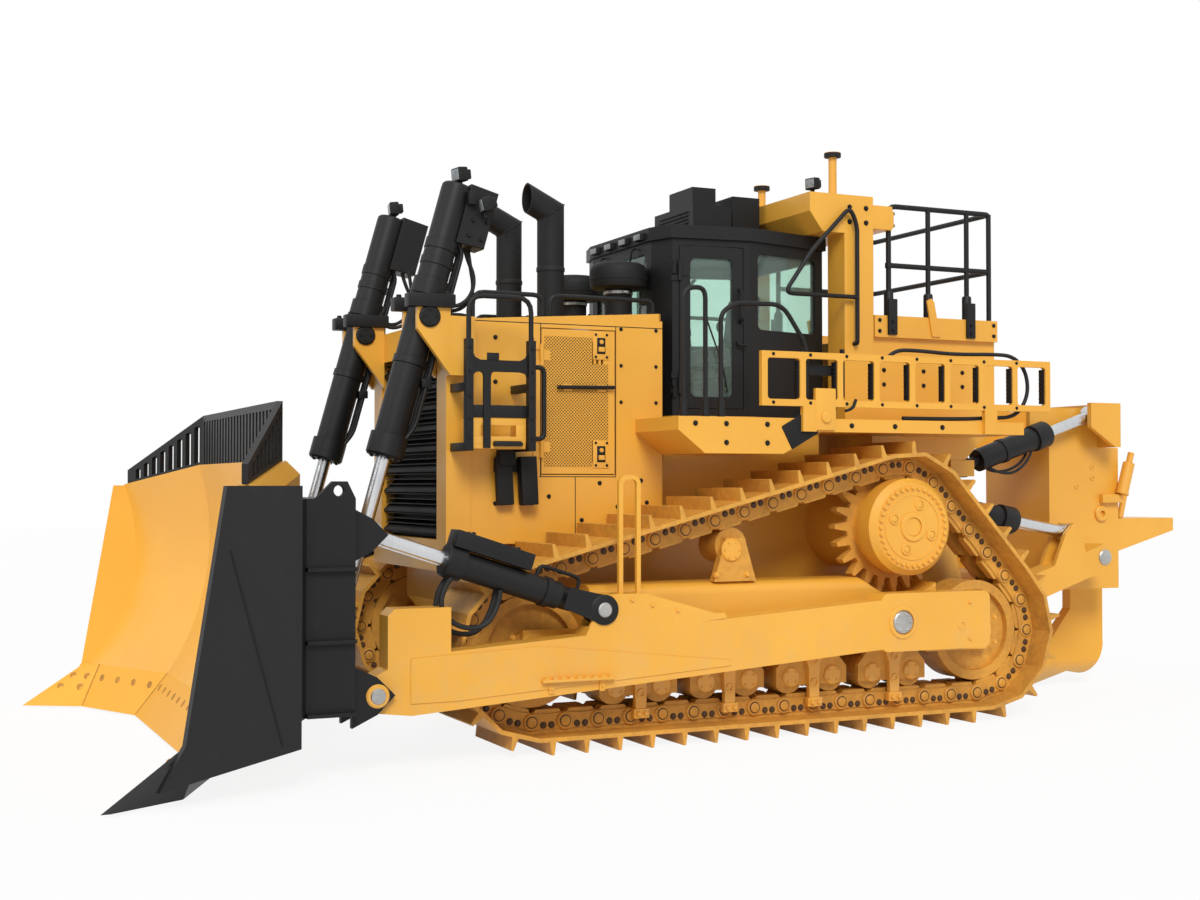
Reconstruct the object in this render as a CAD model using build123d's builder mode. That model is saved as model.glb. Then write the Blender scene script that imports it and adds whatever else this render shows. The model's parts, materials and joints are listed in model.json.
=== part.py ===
from build123d import *
import math
import os

os.makedirs("parts", exist_ok=True)

# Overall reach, in millimetres, measured from the rear idler axle; +X forward, +Y left, +Z up
blade_reach = 6950
tail_reach = 3250
datum_x = (tail_reach - blade_reach) / 2
running_gap = 0.3
swing_gap = 8

# Tracks
track_gauge = 2550
idler_spacing = 3885
idler_radius = 420
idler_width = 280
idler_rim = 75
idler_hub = 150
idler_recess = 55
sprocket_ahead = 750
sprocket_height = 1558
sprocket_radius = 392
sprocket_width = 90
sprocket_teeth = 23
tooth_root_height = 20
tooth_tip_height = 45
shoe_count = 44
shoe_width = 710
shoe_thickness = 30
grouser_height = 93
grouser_root = 46
grouser_tip = 20
grouser_setback = 150
link_height = 170
strand_width = 80
strand_spacing = 200
rail_notch = 45
rail_notch_length = 40

# Roller frames
frame_width = 420
frame_bottom = 640
frame_top = 1165
frame_corner = 90
yoke_thickness = 50
frame_sprocket_gap = 25
frame_idler_gap = 30
yoke_half_height = 150
yoke_overlap = 160
roller_radius = 130
roller_width = 260
roller_count = 8
first_roller = 650
last_roller = 3235
bogie_thickness = 45
carrier_radius = 135
carrier_ahead = 2290
carrier_width = 260
carrier_bracket_width = 70
carrier_foot = 180
carrier_head = 80
carrier_crown = 60
hub_radius = 350
hub_cover_radius = 380
hub_cover_width = 190
hub_cover_edge = 45
hub_clear = 15

# Hull, engine and hood
case_half_width = 600
case_bottom = 640
case_top = 2100
case_rear = -330
case_tail = 300
case_tail_rise = 260
case_nose = 300
case_nose_rise = 350
case_step = 150
pivot_radius = 120
deck_height = 1450
engine_length = 1300
engine_width = 900
engine_height = 1050
engine_rear = 2760
body_half_width = 880
panel_thickness = 40
hood_rear = 2565
hood_front = 4150
hood_rear_top = 3215
hood_front_top = 3112
hood_thickness = 60
hood_edge = 60
guard_depth = 190
guard_half_width = 900
guard_bottom = 1250
guard_column = 210
guard_head = 230
yoke_drop = 420
yoke_rise = 90
yoke_nose = 90
cheek_gap = 20
louvre_count = 9
louvre_thickness = 16
louvre_depth = 110
louvre_inset = 20
door_front = 3580
door_rear = 2975
door_bottom = 1970
door_top = 3060
grille_margin = 85
grille_slots = 11
grille_bar = 20
grille_middle = 90
panel_bottom = 1410
panel_gap = 8
hinge_radius = 16
hinge_length = 80
hinge_leaf = 70
leaf_thickness = 10
hinge_inset = 200
stack_radius = 106
stack_wall = 12
stack_elbow = 4020
stack_tilt = 26
stack_mouth = 190
stack_mouth_depth = 160
stack_half_spacing = 443
stack_ahead = 3322
precleaner_radius = 230
precleaner_height = 215
precleaner_bottom = 3440
precleaner_pipe = 110
precleaner_ahead = 2735
precleaner_edge = 45

# Cab, protective frame and rear deck
cab_floor_height = 2430
cab_floor_thickness = 60
cab_wall = 55
cab_roof_bottom = 3830
cab_roof_top = 3935
roof_overhang = 25
cab_front = 2500
cab_front_half = 560
cab_door_front = 2430
cab_door_front_half = 790
cab_door_rear = 1780
cab_door_rear_half = 880
cab_rear = 960
cab_rear_half = 660
glass_thickness = 12
window_bottom = 3130
window_top = 3740
window_post = 90
window_corner = 50
door_gap = 6
door_thickness = 50
rops_front = 1260
rops_rear = 650
rops_half_width = 950
rops_bottom = 3945
rops_top = 4260
rops_post_depth = 280
rops_post_width = 250
rops_chin = 120
rops_chin_height = 160
tank_rear = -640
tank_front = 620
tank_half_width = 880
tank_top = 3110
tank_tail_rise = 300
deck_beam_height = 180
deck_beam_width = 90
rail_radius = 22
rail_top = 4210
rail_mid = 3715
post_stations = (450, 50, -350, -600)

seat_ahead = 1500
seat_depth = 500
seat_width = 520
seat_base = 330
seat_base_width = 400
seat_cushion = 140
seat_back = 640
seat_back_depth = 130
seat_recline = 60
arm_rest = 120
arm_rest_height = 300
console_ahead = 2330
console_depth = 170
console_width = 800
console_height = 620

# Fenders, ladder and steps
fender_inner = tank_half_width
fender_outer = 1600
fender_front = 2800
fender_rear = -360
fender_top = 2390
fender_bottom = 2290
fender_box_bottom = 2120
fender_box_rear = 1580
fender_box_slope = 330
fender_nose = 220
ladder_front = 2120
ladder_rear = -600
ladder_bottom = 2480
ladder_top = 2890
ladder_thickness = 40
ladder_rail = 50
ladder_openings = 8
ladder_corner = 25
ladder_foot = 120
ladder_feet = (1700, 0)

# Blade and push arms
trunnion_ahead = 1026
trunnion_height = 845
trunnion_radius = 70
arm_inner = 1680
arm_outer = 1870
arm_rear_radius = 185
arm_tail = 820
arm_tail_front = 190
arm_tail_half = 220
arm_tail_corner = 60
arm_box_rear = 4640
arm_box_front = 5075
arm_box_top = 1076
arm_box_corner = 45
hoop_front = 3370
hoop_rear = 3200
hoop_top = 1957
hoop_bar = 32
arm_pin_ahead = 5161
arm_pin_height = 523
arm_eye_radius = 120
arm_neck = 250
arm_neck_drop = 150
arm_neck_rise = 240
brace_bracket_rear = 980
brace_bracket_drop = 80
brace_bracket_top = 320
brace_bracket_nose = 150
brace_bracket_toe = 200
slot_length = 400
slot_rise = 195
arm_pin_radius = 60
brace_rear_ahead = 3523
brace_rear_height = 1022
brace_front_ahead = 5185
brace_front_height = 1562
brace_radius = 95
brace_rod_radius = 50
brace_eye_radius = 105
brace_pin_radius = 45
blade_half_width = 2430
end_rear_ahead = 5750
end_rear_half = 2200
end_front_half = 2380
end_bottom = 270
end_rise = 12
end_proud = 30
end_nose = 190
end_nose_height = 110
blade_centre_half = 1290
wing_angle = 24
blade_front_ahead = 5944
edge_height = 350
edge_run = 227
edge_kink_half = 1478
bit_root_half = 2208
bit_tip_half = 2470
blade_top = 2050
blade_top_setback = 245
blade_hollow = 190
blade_lip = 90
moldboard_thickness = 60
blade_clear = 15
blade_back_ahead = 5330
blade_back_bottom = 420
blade_back_top = 1800
blade_back_half = 2000
ear_thickness = 50
arm_ear_root = 200
brace_ear_root = 180
lift_ear_root = 180
guard_rail_height = 400
guard_bar_count = 24
guard_bar = 50
guard_thickness = 40
guard_rail = 50
guard_setback = 45
guard_wing_half = 2300
guard_wing_end = 120
guard_wing_slots = 9
guard_lift = 3
side_rib = 45
side_rib_thickness = 25
back_corner = 100
lift_half_spacing = 810
lift_trunnion_ahead = 4500
lift_trunnion_height = 3100
lift_pin_ahead = 5100
lift_pin_height = 950
lift_barrel_radius = 115
lift_rod_radius = 50
lift_eye_radius = 90
lift_pin_radius = 45
lift_barrel_above = 1040
hose_guard_top = 1060
hose_guard_bottom = 620
hose_guard_taper = 140
hose_guard_reach = 290
hose_guard_half = 125
lift_barrel_below = 1050
lift_rod_start = 200
lift_head = 30
trunnion_root = 20
brace_bore_lead = 150
brace_rod_eye = 90
eye_width = 120
brace_barrel_length = 1200
brace_rod_start = 700
brace_neck = 330
wing_top = 1870
back_box_depth = 184
edge_thickness = 50
bit_thickness = 50
lug_length = 260
lug_height = 110
lug_hole_radius = 35
lug_hole_height = 50

# Ripper
link_front_ahead = -400
link_front_height = 760
link_run = 1480
link_rise = 480
tilt_front_ahead = -520
tilt_front_height = 2040
tilt_half_spacing = 560
ripper_pin_radius = 60
ripper_eye_radius = 120
link_half_spacing = 750
link_plate = 206
rip_lift_front_ahead = 300
rip_lift_front_height = 1800
rip_lift_eye_ahead = -1530
rip_lift_eye_height = 1460
rip_barrel_radius = 100
rip_rod_radius = 50
carriage_front = -1600
carriage_rear = -2410
carriage_half_width = 450
carriage_bottom = 930
carriage_top = 2230
carriage_ear_front = 620
carriage_ear_height = 360
carriage_ear_half = 110
carriage_ear_rear = 175
push_block_root = 350
push_block_tip = 120
barrel_eye_wall = 45
shank_width = 110
shank_depth = 390
shank_front = -2180
shank_top = 2150
shank_tip_ahead = -1740
shank_tip_height = 30
push_block_half = 280
push_block_top = 1570
rip_eye_width = 110
link_ear = 40
carriage_boss = 640
pin_depth = 200
bracket_thickness = 40
tilt_pin_radius = 45
plate_back = 60
bracket_nose = 90
bracket_half = 130
bracket_top_rise = 40
bracket_top_ahead = 100
bracket_waist = 200
tilt_nose_drop = 80
link_ear_rear = 160
link_ear_front = 260
link_ear_low = 60
link_ear_toe = 160
link_ear_radius = 90
link_tube_radius = 110
tilt_ear_drop = 85
tilt_ear_rise = 60
shank_curve = 420
shank_nose = 110
rip_barrel_length = 1260
rip_rod_start = 625
tilt_barrel_length = 1000
tilt_rod_start = 560
barrel_neck = 230
neck_radius = 45
barrel_end = 40
rod_eye_radius = 85
steps_front = 4280
steps_rear = 3720
steps_bottom = 1950
steps_top = 3260
steps_reach = 330
step_count = 4
steps_arm = 2560
step_bar = 60
step_depth = 40
lamp_width = 130
lamp_height = 150
lamp_depth = 90
lamp_inset = 150
roof_box_ahead = 1830
roof_box_size = (360, 700, 265)
roof_top_size = (220, 420, 170)
roof_rear_ahead = 1450
roof_rear_size = (260, 500, 375)
breathers = ((750, 500, 4700), (900, -420, 4560))
breather_radius = 35
breather_cap = 70
breather_cap_height = 35
grab_radius = 18
hood_rail_half = 800
hood_rail_top = 3320
hood_rail_front = (4100, 3540)
hood_rail_rear = (3480, 2610)
fender_rail_half = 1570
fender_rail_front = ((2740, 3330), (2560, 3350))
fender_rail_rear = ((2430, 3160), (2310, 3240), (1900, 3250), (1690, 2950))
cab_rail_half = 1000
cab_rail_low = 3040
cab_rail_mid = 3417
cab_rail_loop = ((840, 4010), (910, 4150), (1274, 3776), (1530, 3417))


def station(ahead):
    """X of a place given by how far ahead of the rear idler axle it lies."""
    return datum_x + ahead


def at_y(y):
    """Upright plane facing sideways at the given Y; its axes are X and Z."""
    return Plane.XZ.offset(-y)


def along(start, end):
    """Plane at start, given as X and Z in the mid plane, whose Z axis points at end."""
    way = Vector(end[0] - start[0], 0, end[1] - start[1]).normalized()
    return Plane(origin=(start[0], 0, start[1]), x_dir=(0, 1, 0), z_dir=way)


def distance(start, end):
    """Straight length between two X and Z places."""
    return math.dist(start, end)


# Track path: three circles and the straight runs that touch them, walked forward along the ground
track_height = grouser_height + shoe_thickness + link_height
idler_height = track_height + idler_radius
pin_lift = link_height / 2
wheels = [
    (station(0), idler_height, idler_radius + pin_lift),
    (station(idler_spacing), idler_height, idler_radius + pin_lift),
    (station(sprocket_ahead), sprocket_height, sprocket_radius + pin_lift),
]


def run_heading(first, second):
    """Direction of the straight run from one wheel to the next."""
    span = math.hypot(second[0] - first[0], second[1] - first[1])
    slope = math.atan2(second[1] - first[1], second[0] - first[0])
    return slope + math.asin((first[2] - second[2]) / span)


def run_length(first, second):
    """Length of the straight run between two wheels."""
    span = math.hypot(second[0] - first[0], second[1] - first[1])
    return math.sqrt(span**2 - (first[2] - second[2]) ** 2)


headings = [run_heading(wheels[i], wheels[(i + 1) % 3]) % (2 * math.pi) for i in range(3)]
runs = [run_length(wheels[i], wheels[(i + 1) % 3]) for i in range(3)]
turns = [(headings[(i + 1) % 3] - headings[i]) % (2 * math.pi) for i in range(3)]
path_length = sum(runs) + sum(turns[i] * wheels[(i + 1) % 3][2] for i in range(3))
shoe_pitch = path_length / shoe_count


def path_point(travel):
    """Pin centre and heading at a travel along the track path."""
    left = travel % path_length
    for i in range(3):
        wheel = wheels[i]
        following = wheels[(i + 1) % 3]
        heading = headings[i]
        if left <= runs[i]:
            x = wheel[0] + wheel[2] * math.sin(heading) + left * math.cos(heading)
            z = wheel[1] - wheel[2] * math.cos(heading) + left * math.sin(heading)
            return x, z, heading
        left -= runs[i]
        if left <= turns[i] * following[2]:
            turned = heading + left / following[2]
            x = following[0] + following[2] * math.sin(turned)
            z = following[1] - following[2] * math.cos(turned)
            return x, z, turned
        left -= turns[i] * following[2]
    return path_point(0)


pins = [path_point(i * shoe_pitch)[:2] for i in range(shoe_count)]


def chord_heading(index):
    """Heading of the flat shoe that starts at a pin."""
    start = pins[index % shoe_count]
    end = pins[(index + 1) % shoe_count]
    return math.atan2(end[1] - start[1], end[0] - start[0])


def shoe_point(index, forward, outward):
    """Place on a shoe, by distance along it from its pin and out from the pin line."""
    heading = chord_heading(index)
    x = pins[index % shoe_count][0] + forward * math.cos(heading) + outward * math.sin(heading)
    z = pins[index % shoe_count][1] + forward * math.sin(heading) - outward * math.cos(heading)
    return x, z


def joint_point(index, outward):
    """Place where two shoes meet above a pin, on the line that halves their angle."""
    before = chord_heading(index - 1)
    turn = (chord_heading(index) - before + math.pi) % (2 * math.pi) - math.pi
    middle = before + turn / 2
    reach = outward / math.cos(turn / 2)
    pin = pins[index % shoe_count]
    return pin[0] + reach * math.sin(middle), pin[1] - reach * math.cos(middle)


plate_inner = pin_lift
plate_outer = pin_lift + shoe_thickness
grouser_out = plate_outer + grouser_height
grouser_taper = (grouser_root - grouser_tip) / 2
shoe_outline = []
for i in range(shoe_count):
    shoe_outline.append(joint_point(i, plate_outer))
    shoe_outline.append(shoe_point(i, grouser_setback, plate_outer))
    shoe_outline.append(shoe_point(i, grouser_setback + grouser_taper, grouser_out))
    shoe_outline.append(shoe_point(i, grouser_setback + grouser_taper + grouser_tip, grouser_out))
    shoe_outline.append(shoe_point(i, grouser_setback + grouser_root, plate_outer))
plate_outline = [joint_point(i, plate_inner) for i in range(shoe_count)]
rail_outline = []
for i in range(shoe_count):
    rail_outline.append(joint_point(i, rail_notch - pin_lift))
    rail_outline.append(shoe_point(i, rail_notch_length, -pin_lift))
    rail_outline.append(shoe_point(i, shoe_pitch - rail_notch_length, -pin_lift))

for side, name in ((1, "track_left"), (-1, "track_right")):
    middle = side * track_gauge / 2
    with BuildPart() as track:
        with BuildSketch(at_y(middle)):
            Polygon(*shoe_outline, align=None)
            Polygon(*plate_outline, align=None, mode=Mode.SUBTRACT)
        extrude(amount=shoe_width / 2, both=True)
        for strand in (-1, 1):
            with BuildSketch(at_y(middle + strand * strand_spacing / 2)):
                Polygon(*plate_outline, align=None)
                Polygon(*rail_outline, align=None, mode=Mode.SUBTRACT)
            extrude(amount=strand_width / 2, both=True)
    track.part.label = name
    export_step(track.part, f"parts/{name}.step")

# Running gear on both sides
tooth_root = sprocket_radius + tooth_root_height
tooth_tip = sprocket_radius + pin_lift + tooth_tip_height
track_y = track_gauge / 2
flat_drop = (idler_radius + pin_lift) - math.sqrt((idler_radius + pin_lift) ** 2 - (shoe_pitch / 2) ** 2)
tread_radius = idler_radius - flat_drop - running_gap
with BuildPart() as idlers:
    for ahead in (0, idler_spacing):
        with BuildSketch(Plane(origin=(station(ahead), track_y, idler_height), x_dir=(1, 0, 0), z_dir=(0, 1, 0))):
            Circle(tread_radius)
        extrude(amount=idler_width / 2, both=True)
        for face in (-1, 1):
            side_plane = Plane(
                origin=(station(ahead), track_y + face * idler_width / 2, idler_height),
                x_dir=(1, 0, 0),
                z_dir=(0, -face, 0),
            )
            with BuildSketch(side_plane):
                Circle(tread_radius - idler_rim)
                Circle(idler_hub, mode=Mode.SUBTRACT)
            extrude(amount=idler_recess, mode=Mode.SUBTRACT)
    mirror(about=Plane.XZ)
idlers.part.label = "idlers"
export_step(idlers.part, "parts/idlers.step")

roller_height = track_height + roller_radius + running_gap
roller_step = (last_roller - first_roller) / (roller_count - 1)
roller_places = [station(first_roller + i * roller_step) for i in range(roller_count)]
with BuildPart() as track_rollers:
    for x in roller_places:
        with BuildSketch(Plane(origin=(x, track_y, roller_height), x_dir=(1, 0, 0), z_dir=(0, 1, 0))):
            Circle(roller_radius)
        extrude(amount=roller_width / 2, both=True)
    mirror(about=Plane.XZ)
track_rollers.part.label = "track_rollers"
export_step(track_rollers.part, "parts/track_rollers.step")

with BuildPart() as bogies:
    for i in range(0, roller_count, 2):
        middle = (roller_places[i] + roller_places[i + 1]) / 2
        reach = (roller_places[i + 1] - roller_places[i]) / 2
        for face in (-1, 1):
            plate_y = track_y + face * (roller_width + bogie_thickness) / 2
            with BuildSketch(at_y(plate_y)):
                Polygon(
                    (middle - reach - roller_radius, roller_height - roller_radius / 2),
                    (middle + reach + roller_radius, roller_height - roller_radius / 2),
                    (middle + reach + roller_radius, roller_height + roller_radius / 2),
                    (middle + reach, frame_bottom),
                    (middle - reach, frame_bottom),
                    (middle - reach - roller_radius, roller_height + roller_radius / 2),
                    align=None,
                )
            extrude(amount=bogie_thickness / 2, both=True)
    mirror(about=Plane.XZ)
bogies.part.label = "bogies"
export_step(bogies.part, "parts/bogies.step")

frame_clear = tread_radius + frame_idler_gap
frame_rear = station(frame_clear)
frame_front = station(idler_spacing - frame_clear)
yoke_y = idler_width / 2 + yoke_thickness / 2
with BuildPart() as track_frames:
    with BuildSketch(Plane.YZ.offset(frame_rear)):
        with Locations((track_y, (frame_bottom + frame_top) / 2)):
            RectangleRounded(frame_width, frame_top - frame_bottom, frame_corner)
    extrude(amount=frame_front - frame_rear)
    for face in (-1, 1):
        with BuildSketch(at_y(track_y + face * yoke_y)):
            with Locations((station(frame_clear / 2), idler_height)):
                Rectangle(frame_clear + yoke_overlap, 2 * yoke_half_height)
            with Locations((station(idler_spacing - frame_clear / 2), idler_height)):
                Rectangle(frame_clear + yoke_overlap, 2 * yoke_half_height)
        extrude(amount=yoke_thickness / 2, both=True)
    with BuildSketch(at_y(track_y)):
        with Locations((wheels[2][0], sprocket_height)):
            Circle(tooth_tip + frame_sprocket_gap)
    extrude(amount=frame_width, both=True, mode=Mode.SUBTRACT)
    mirror(about=Plane.XZ)
track_frames.part.label = "track_frames"
export_step(track_frames.part, "parts/track_frames.step")

# Carrier roller under the sloping upper run
run_slope = headings[1]
front_touch = (
    wheels[1][0] + idler_radius * math.sin(run_slope),
    wheels[1][1] - idler_radius * math.cos(run_slope),
)
carrier_travel = (front_touch[0] - station(carrier_ahead)) / -math.cos(run_slope)
carrier_drop = carrier_radius + running_gap
carrier_x = front_touch[0] + carrier_travel * math.cos(run_slope) - carrier_drop * math.sin(run_slope)
carrier_z = front_touch[1] + carrier_travel * math.sin(run_slope) + carrier_drop * math.cos(run_slope)
with BuildPart() as carrier_rollers:
    with BuildSketch(Plane(origin=(carrier_x, track_y, carrier_z), x_dir=(1, 0, 0), z_dir=(0, 1, 0))):
        Circle(carrier_radius)
    extrude(amount=carrier_width / 2, both=True)
    with BuildSketch(at_y(track_y + (carrier_width + carrier_bracket_width) / 2)):
        Polygon(
            (carrier_x - carrier_foot, frame_top),
            (carrier_x + carrier_foot, frame_top),
            (carrier_x + carrier_head, carrier_z + carrier_crown),
            (carrier_x - carrier_head, carrier_z + carrier_crown),
            align=None,
        )
    extrude(amount=carrier_bracket_width / 2, both=True)
    mirror(about=Plane.XZ)
carrier_rollers.part.label = "carrier_rollers"
export_step(carrier_rollers.part, "parts/carrier_rollers.step")

# Drive sprockets, their teeth between the two link strands, and the final drives that carry them
tooth_step = 2 * math.pi / sprocket_teeth
tooth_outline = []
for i in range(sprocket_teeth):
    for radius, share in ((tooth_root, -0.32), (tooth_tip, -0.12), (tooth_tip, 0.12), (tooth_root, 0.32)):
        angle = (i + share) * tooth_step
        tooth_outline.append((radius * math.cos(angle), radius * math.sin(angle)))
with BuildPart() as sprockets:
    with BuildSketch(Plane(origin=(wheels[2][0], track_y, sprocket_height), x_dir=(1, 0, 0), z_dir=(0, -1, 0))):
        Polygon(*tooth_outline, align=None)
        Circle(hub_radius + running_gap, mode=Mode.SUBTRACT)
    extrude(amount=sprocket_width / 2, both=True)
    mirror(about=Plane.XZ)
sprockets.part.label = "sprockets"
export_step(sprockets.part, "parts/sprockets.step")

hub_outer = track_y + idler_width / 2 + hub_clear
with BuildPart() as final_drives:
    with BuildSketch(Plane(origin=(wheels[2][0], case_half_width, sprocket_height), x_dir=(1, 0, 0), z_dir=(0, 1, 0))):
        Circle(hub_radius)
    extrude(amount=hub_outer - case_half_width)
    with BuildSketch(Plane(origin=(wheels[2][0], hub_outer, sprocket_height), x_dir=(1, 0, 0), z_dir=(0, 1, 0))):
        Circle(hub_cover_radius)
    extrude(amount=hub_cover_width)
    chamfer(final_drives.faces().sort_by(Axis.Y)[-1].edges(), hub_cover_edge)
    mirror(about=Plane.XZ)
final_drives.part.label = "final_drives"
export_step(final_drives.part, "parts/final_drives.step")

# Hull
with BuildPart() as main_case:
    with BuildSketch(at_y(0)):
        Polygon(
            (station(case_rear), case_bottom + case_tail_rise),
            (station(case_rear + case_tail), case_bottom),
            (station(hood_front - case_nose), case_bottom),
            (station(hood_front), case_bottom + case_nose_rise),
            (station(hood_front), deck_height),
            (station(hood_rear), deck_height),
            (station(hood_rear - case_step), case_top),
            (station(case_rear), case_top),
            align=None,
        )
    extrude(amount=case_half_width, both=True)
    with BuildSketch(Plane(origin=(station(trunnion_ahead), 0, trunnion_height), x_dir=(1, 0, 0), z_dir=(0, 1, 0))):
        Circle(pivot_radius)
    extrude(amount=track_y - frame_width / 2, both=True)
main_case.part.label = "main_case"
export_step(main_case.part, "parts/main_case.step")

with BuildPart() as engine_block:
    with Locations((station(engine_rear + engine_length / 2), 0, deck_height)):
        Box(engine_length, engine_width, engine_height, align=(Align.CENTER, Align.CENTER, Align.MIN))
engine_block.part.label = "engine_block"
export_step(engine_block.part, "parts/engine_block.step")

# Hood, its side panels and the engine doors
hood_slope = (hood_rear_top - hood_front_top) / (hood_front - hood_rear)


def hood_line(ahead):
    """Height of the hood's top at a station."""
    return hood_rear_top - (ahead - hood_rear) * hood_slope


with BuildPart() as hood:
    with BuildSketch(at_y(0)):
        Polygon(
            (station(hood_rear), hood_rear_top - hood_thickness),
            (station(hood_front), hood_front_top - hood_thickness),
            (station(hood_front), hood_front_top),
            (station(hood_rear), hood_rear_top),
            align=None,
        )
    extrude(amount=body_half_width, both=True)
    chamfer(hood.edges().filter_by(Axis.Y, reverse=True).group_by(Axis.Z)[-1], hood_edge / 2)
hood.part.label = "hood"
export_step(hood.part, "parts/hood.step")

panel_y = body_half_width - panel_thickness / 2
hinge_x = station(door_front) + panel_gap / 2
hinge_y = body_half_width + hinge_radius
hinge_levels = (door_bottom + hinge_inset, door_top - hinge_inset)
grille_step = (door_front - door_rear - 2 * grille_margin) / grille_slots
grille_height = (door_top - door_bottom - 2 * grille_margin - grille_middle) / 2
grille_levels = [
    (door_top + door_bottom) / 2 + way * (grille_height + grille_middle) / 2 for way in (-1, 1)
]
with BuildPart() as side_panels:
    with BuildSketch(at_y(panel_y)):
        Polygon(
            (station(door_front + panel_gap), deck_height),
            (station(hood_front), deck_height),
            (station(hood_front), hood_line(hood_front) - hood_thickness),
            (station(door_front + panel_gap), hood_line(door_front + panel_gap) - hood_thickness),
            align=None,
        )
        Polygon(
            (station(hood_rear), panel_bottom),
            (station(door_front + panel_gap), panel_bottom),
            (station(door_front + panel_gap), door_bottom - panel_gap),
            (station(hood_rear), door_bottom - panel_gap),
            align=None,
        )
        Polygon(
            (station(hood_rear), door_bottom - panel_gap),
            (station(door_rear - panel_gap), door_bottom - panel_gap),
            (station(door_rear - panel_gap), hood_line(door_rear - panel_gap) - hood_thickness),
            (station(hood_rear), hood_rear_top - hood_thickness),
            align=None,
        )
        Polygon(
            (station(door_rear - panel_gap), door_top + panel_gap),
            (station(door_front + panel_gap), door_top + panel_gap),
            (station(door_front + panel_gap), hood_line(door_front + panel_gap) - hood_thickness),
            (station(door_rear - panel_gap), hood_line(door_rear - panel_gap) - hood_thickness),
            align=None,
        )
    extrude(amount=panel_thickness / 2, both=True)
    for level in hinge_levels:
        for end in (-1, 1):
            with BuildSketch(Plane.XY.offset(level + end * hinge_length / 2)):
                with Locations((hinge_x, hinge_y)):
                    Circle(hinge_radius)
                with Locations((hinge_x, body_half_width)):
                    Rectangle(hinge_leaf, leaf_thickness, align=(Align.MIN, Align.MIN))
            extrude(amount=end * hinge_length / 2)
    mirror(about=Plane.XZ)
side_panels.part.label = "side_panels"
export_step(side_panels.part, "parts/side_panels.step")

for side, name in ((1, "engine_door_left"), (-1, "engine_door_right")):
    with BuildPart() as engine_door:
        with BuildSketch(at_y(side * panel_y)):
            with Locations((station((door_front + door_rear) / 2), (door_top + door_bottom) / 2)):
                Rectangle(door_front - door_rear, door_top - door_bottom)
            for i in range(grille_slots):
                slot_x = station(door_rear + grille_margin + (i + 0.5) * grille_step)
                for level in grille_levels:
                    with Locations((slot_x, level)):
                        Rectangle(grille_step - grille_bar, grille_height, mode=Mode.SUBTRACT)
        extrude(amount=panel_thickness / 2, both=True)
        for level in hinge_levels:
            with BuildSketch(Plane.XY.offset(level)):
                with Locations((hinge_x, side * hinge_y)):
                    Circle(hinge_radius)
                with Locations((hinge_x - hinge_leaf / 2, side * (body_half_width + leaf_thickness / 2))):
                    Rectangle(hinge_leaf, leaf_thickness)
            extrude(amount=hinge_length / 2, both=True)
    engine_door.part.label = name
    export_step(engine_door.part, f"parts/{name}.step")

# Radiator guard round its louvred core, with the yokes that carry the lift cylinders
cheek_offset = lift_barrel_radius + cheek_gap + ear_thickness / 2
shoulder_outer = lift_half_spacing + cheek_offset + ear_thickness / 2
with BuildPart() as radiator_guard:
    with BuildSketch(Plane.YZ.offset(station(hood_front))):
        with Locations((0, (guard_bottom + hood_front_top) / 2)):
            Rectangle(2 * guard_half_width, hood_front_top - guard_bottom)
            Rectangle(
                2 * (guard_half_width - guard_column),
                hood_front_top - guard_bottom - 2 * guard_head,
                mode=Mode.SUBTRACT,
            )
    extrude(amount=guard_depth)
    for side in (-1, 1):
        with BuildSketch(at_y(side * (guard_half_width + shoulder_outer) / 2)):
            with Locations((station(hood_front), lift_trunnion_height - yoke_drop)):
                Rectangle(
                    guard_depth,
                    hood_front_top - lift_trunnion_height + yoke_drop,
                    align=(Align.MIN, Align.MIN),
                )
        extrude(amount=(shoulder_outer - guard_half_width) / 2, both=True)
        for cheek in (-1, 1):
            with BuildSketch(at_y(side * lift_half_spacing + cheek * cheek_offset)):
                Polygon(
                    (station(hood_front) + guard_depth, lift_trunnion_height - yoke_drop),
                    (station(lift_trunnion_ahead) + yoke_nose, lift_trunnion_height - yoke_rise),
                    (station(lift_trunnion_ahead) + yoke_nose, lift_trunnion_height + yoke_rise),
                    (station(hood_front) + guard_depth, lift_trunnion_height + yoke_rise),
                    align=None,
                )
                with Locations((station(lift_trunnion_ahead), lift_trunnion_height)):
                    Circle(lift_pin_radius + running_gap, mode=Mode.SUBTRACT)
            extrude(amount=ear_thickness / 2, both=True)
radiator_guard.part.label = "radiator_guard"
export_step(radiator_guard.part, "parts/radiator_guard.step")

core_bottom = guard_bottom + guard_head
core_top = hood_front_top - guard_head
louvre_step = (core_top - core_bottom) / louvre_count
with BuildPart() as radiator_core:
    with BuildSketch(Plane.YZ.offset(station(hood_front))):
        with Locations((0, (core_bottom + core_top) / 2)):
            Rectangle(2 * (guard_half_width - guard_column), core_top - core_bottom)
    extrude(amount=guard_depth - louvre_depth)
    louvre_x = station(hood_front) + guard_depth - louvre_depth
    for i in range(louvre_count):
        level = core_bottom + (i + 0.5) * louvre_step
        with BuildSketch(at_y(0)):
            Polygon(
                (louvre_x, level + louvre_step / 4),
                (louvre_x + louvre_depth - louvre_inset, level - louvre_step / 4),
                (louvre_x + louvre_depth - louvre_inset, level - louvre_step / 4 + louvre_thickness),
                (louvre_x, level + louvre_step / 4 + louvre_thickness),
                align=None,
            )
        extrude(amount=guard_half_width - guard_column, both=True)
radiator_core.part.label = "radiator_core"
export_step(radiator_core.part, "parts/radiator_core.step")

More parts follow.
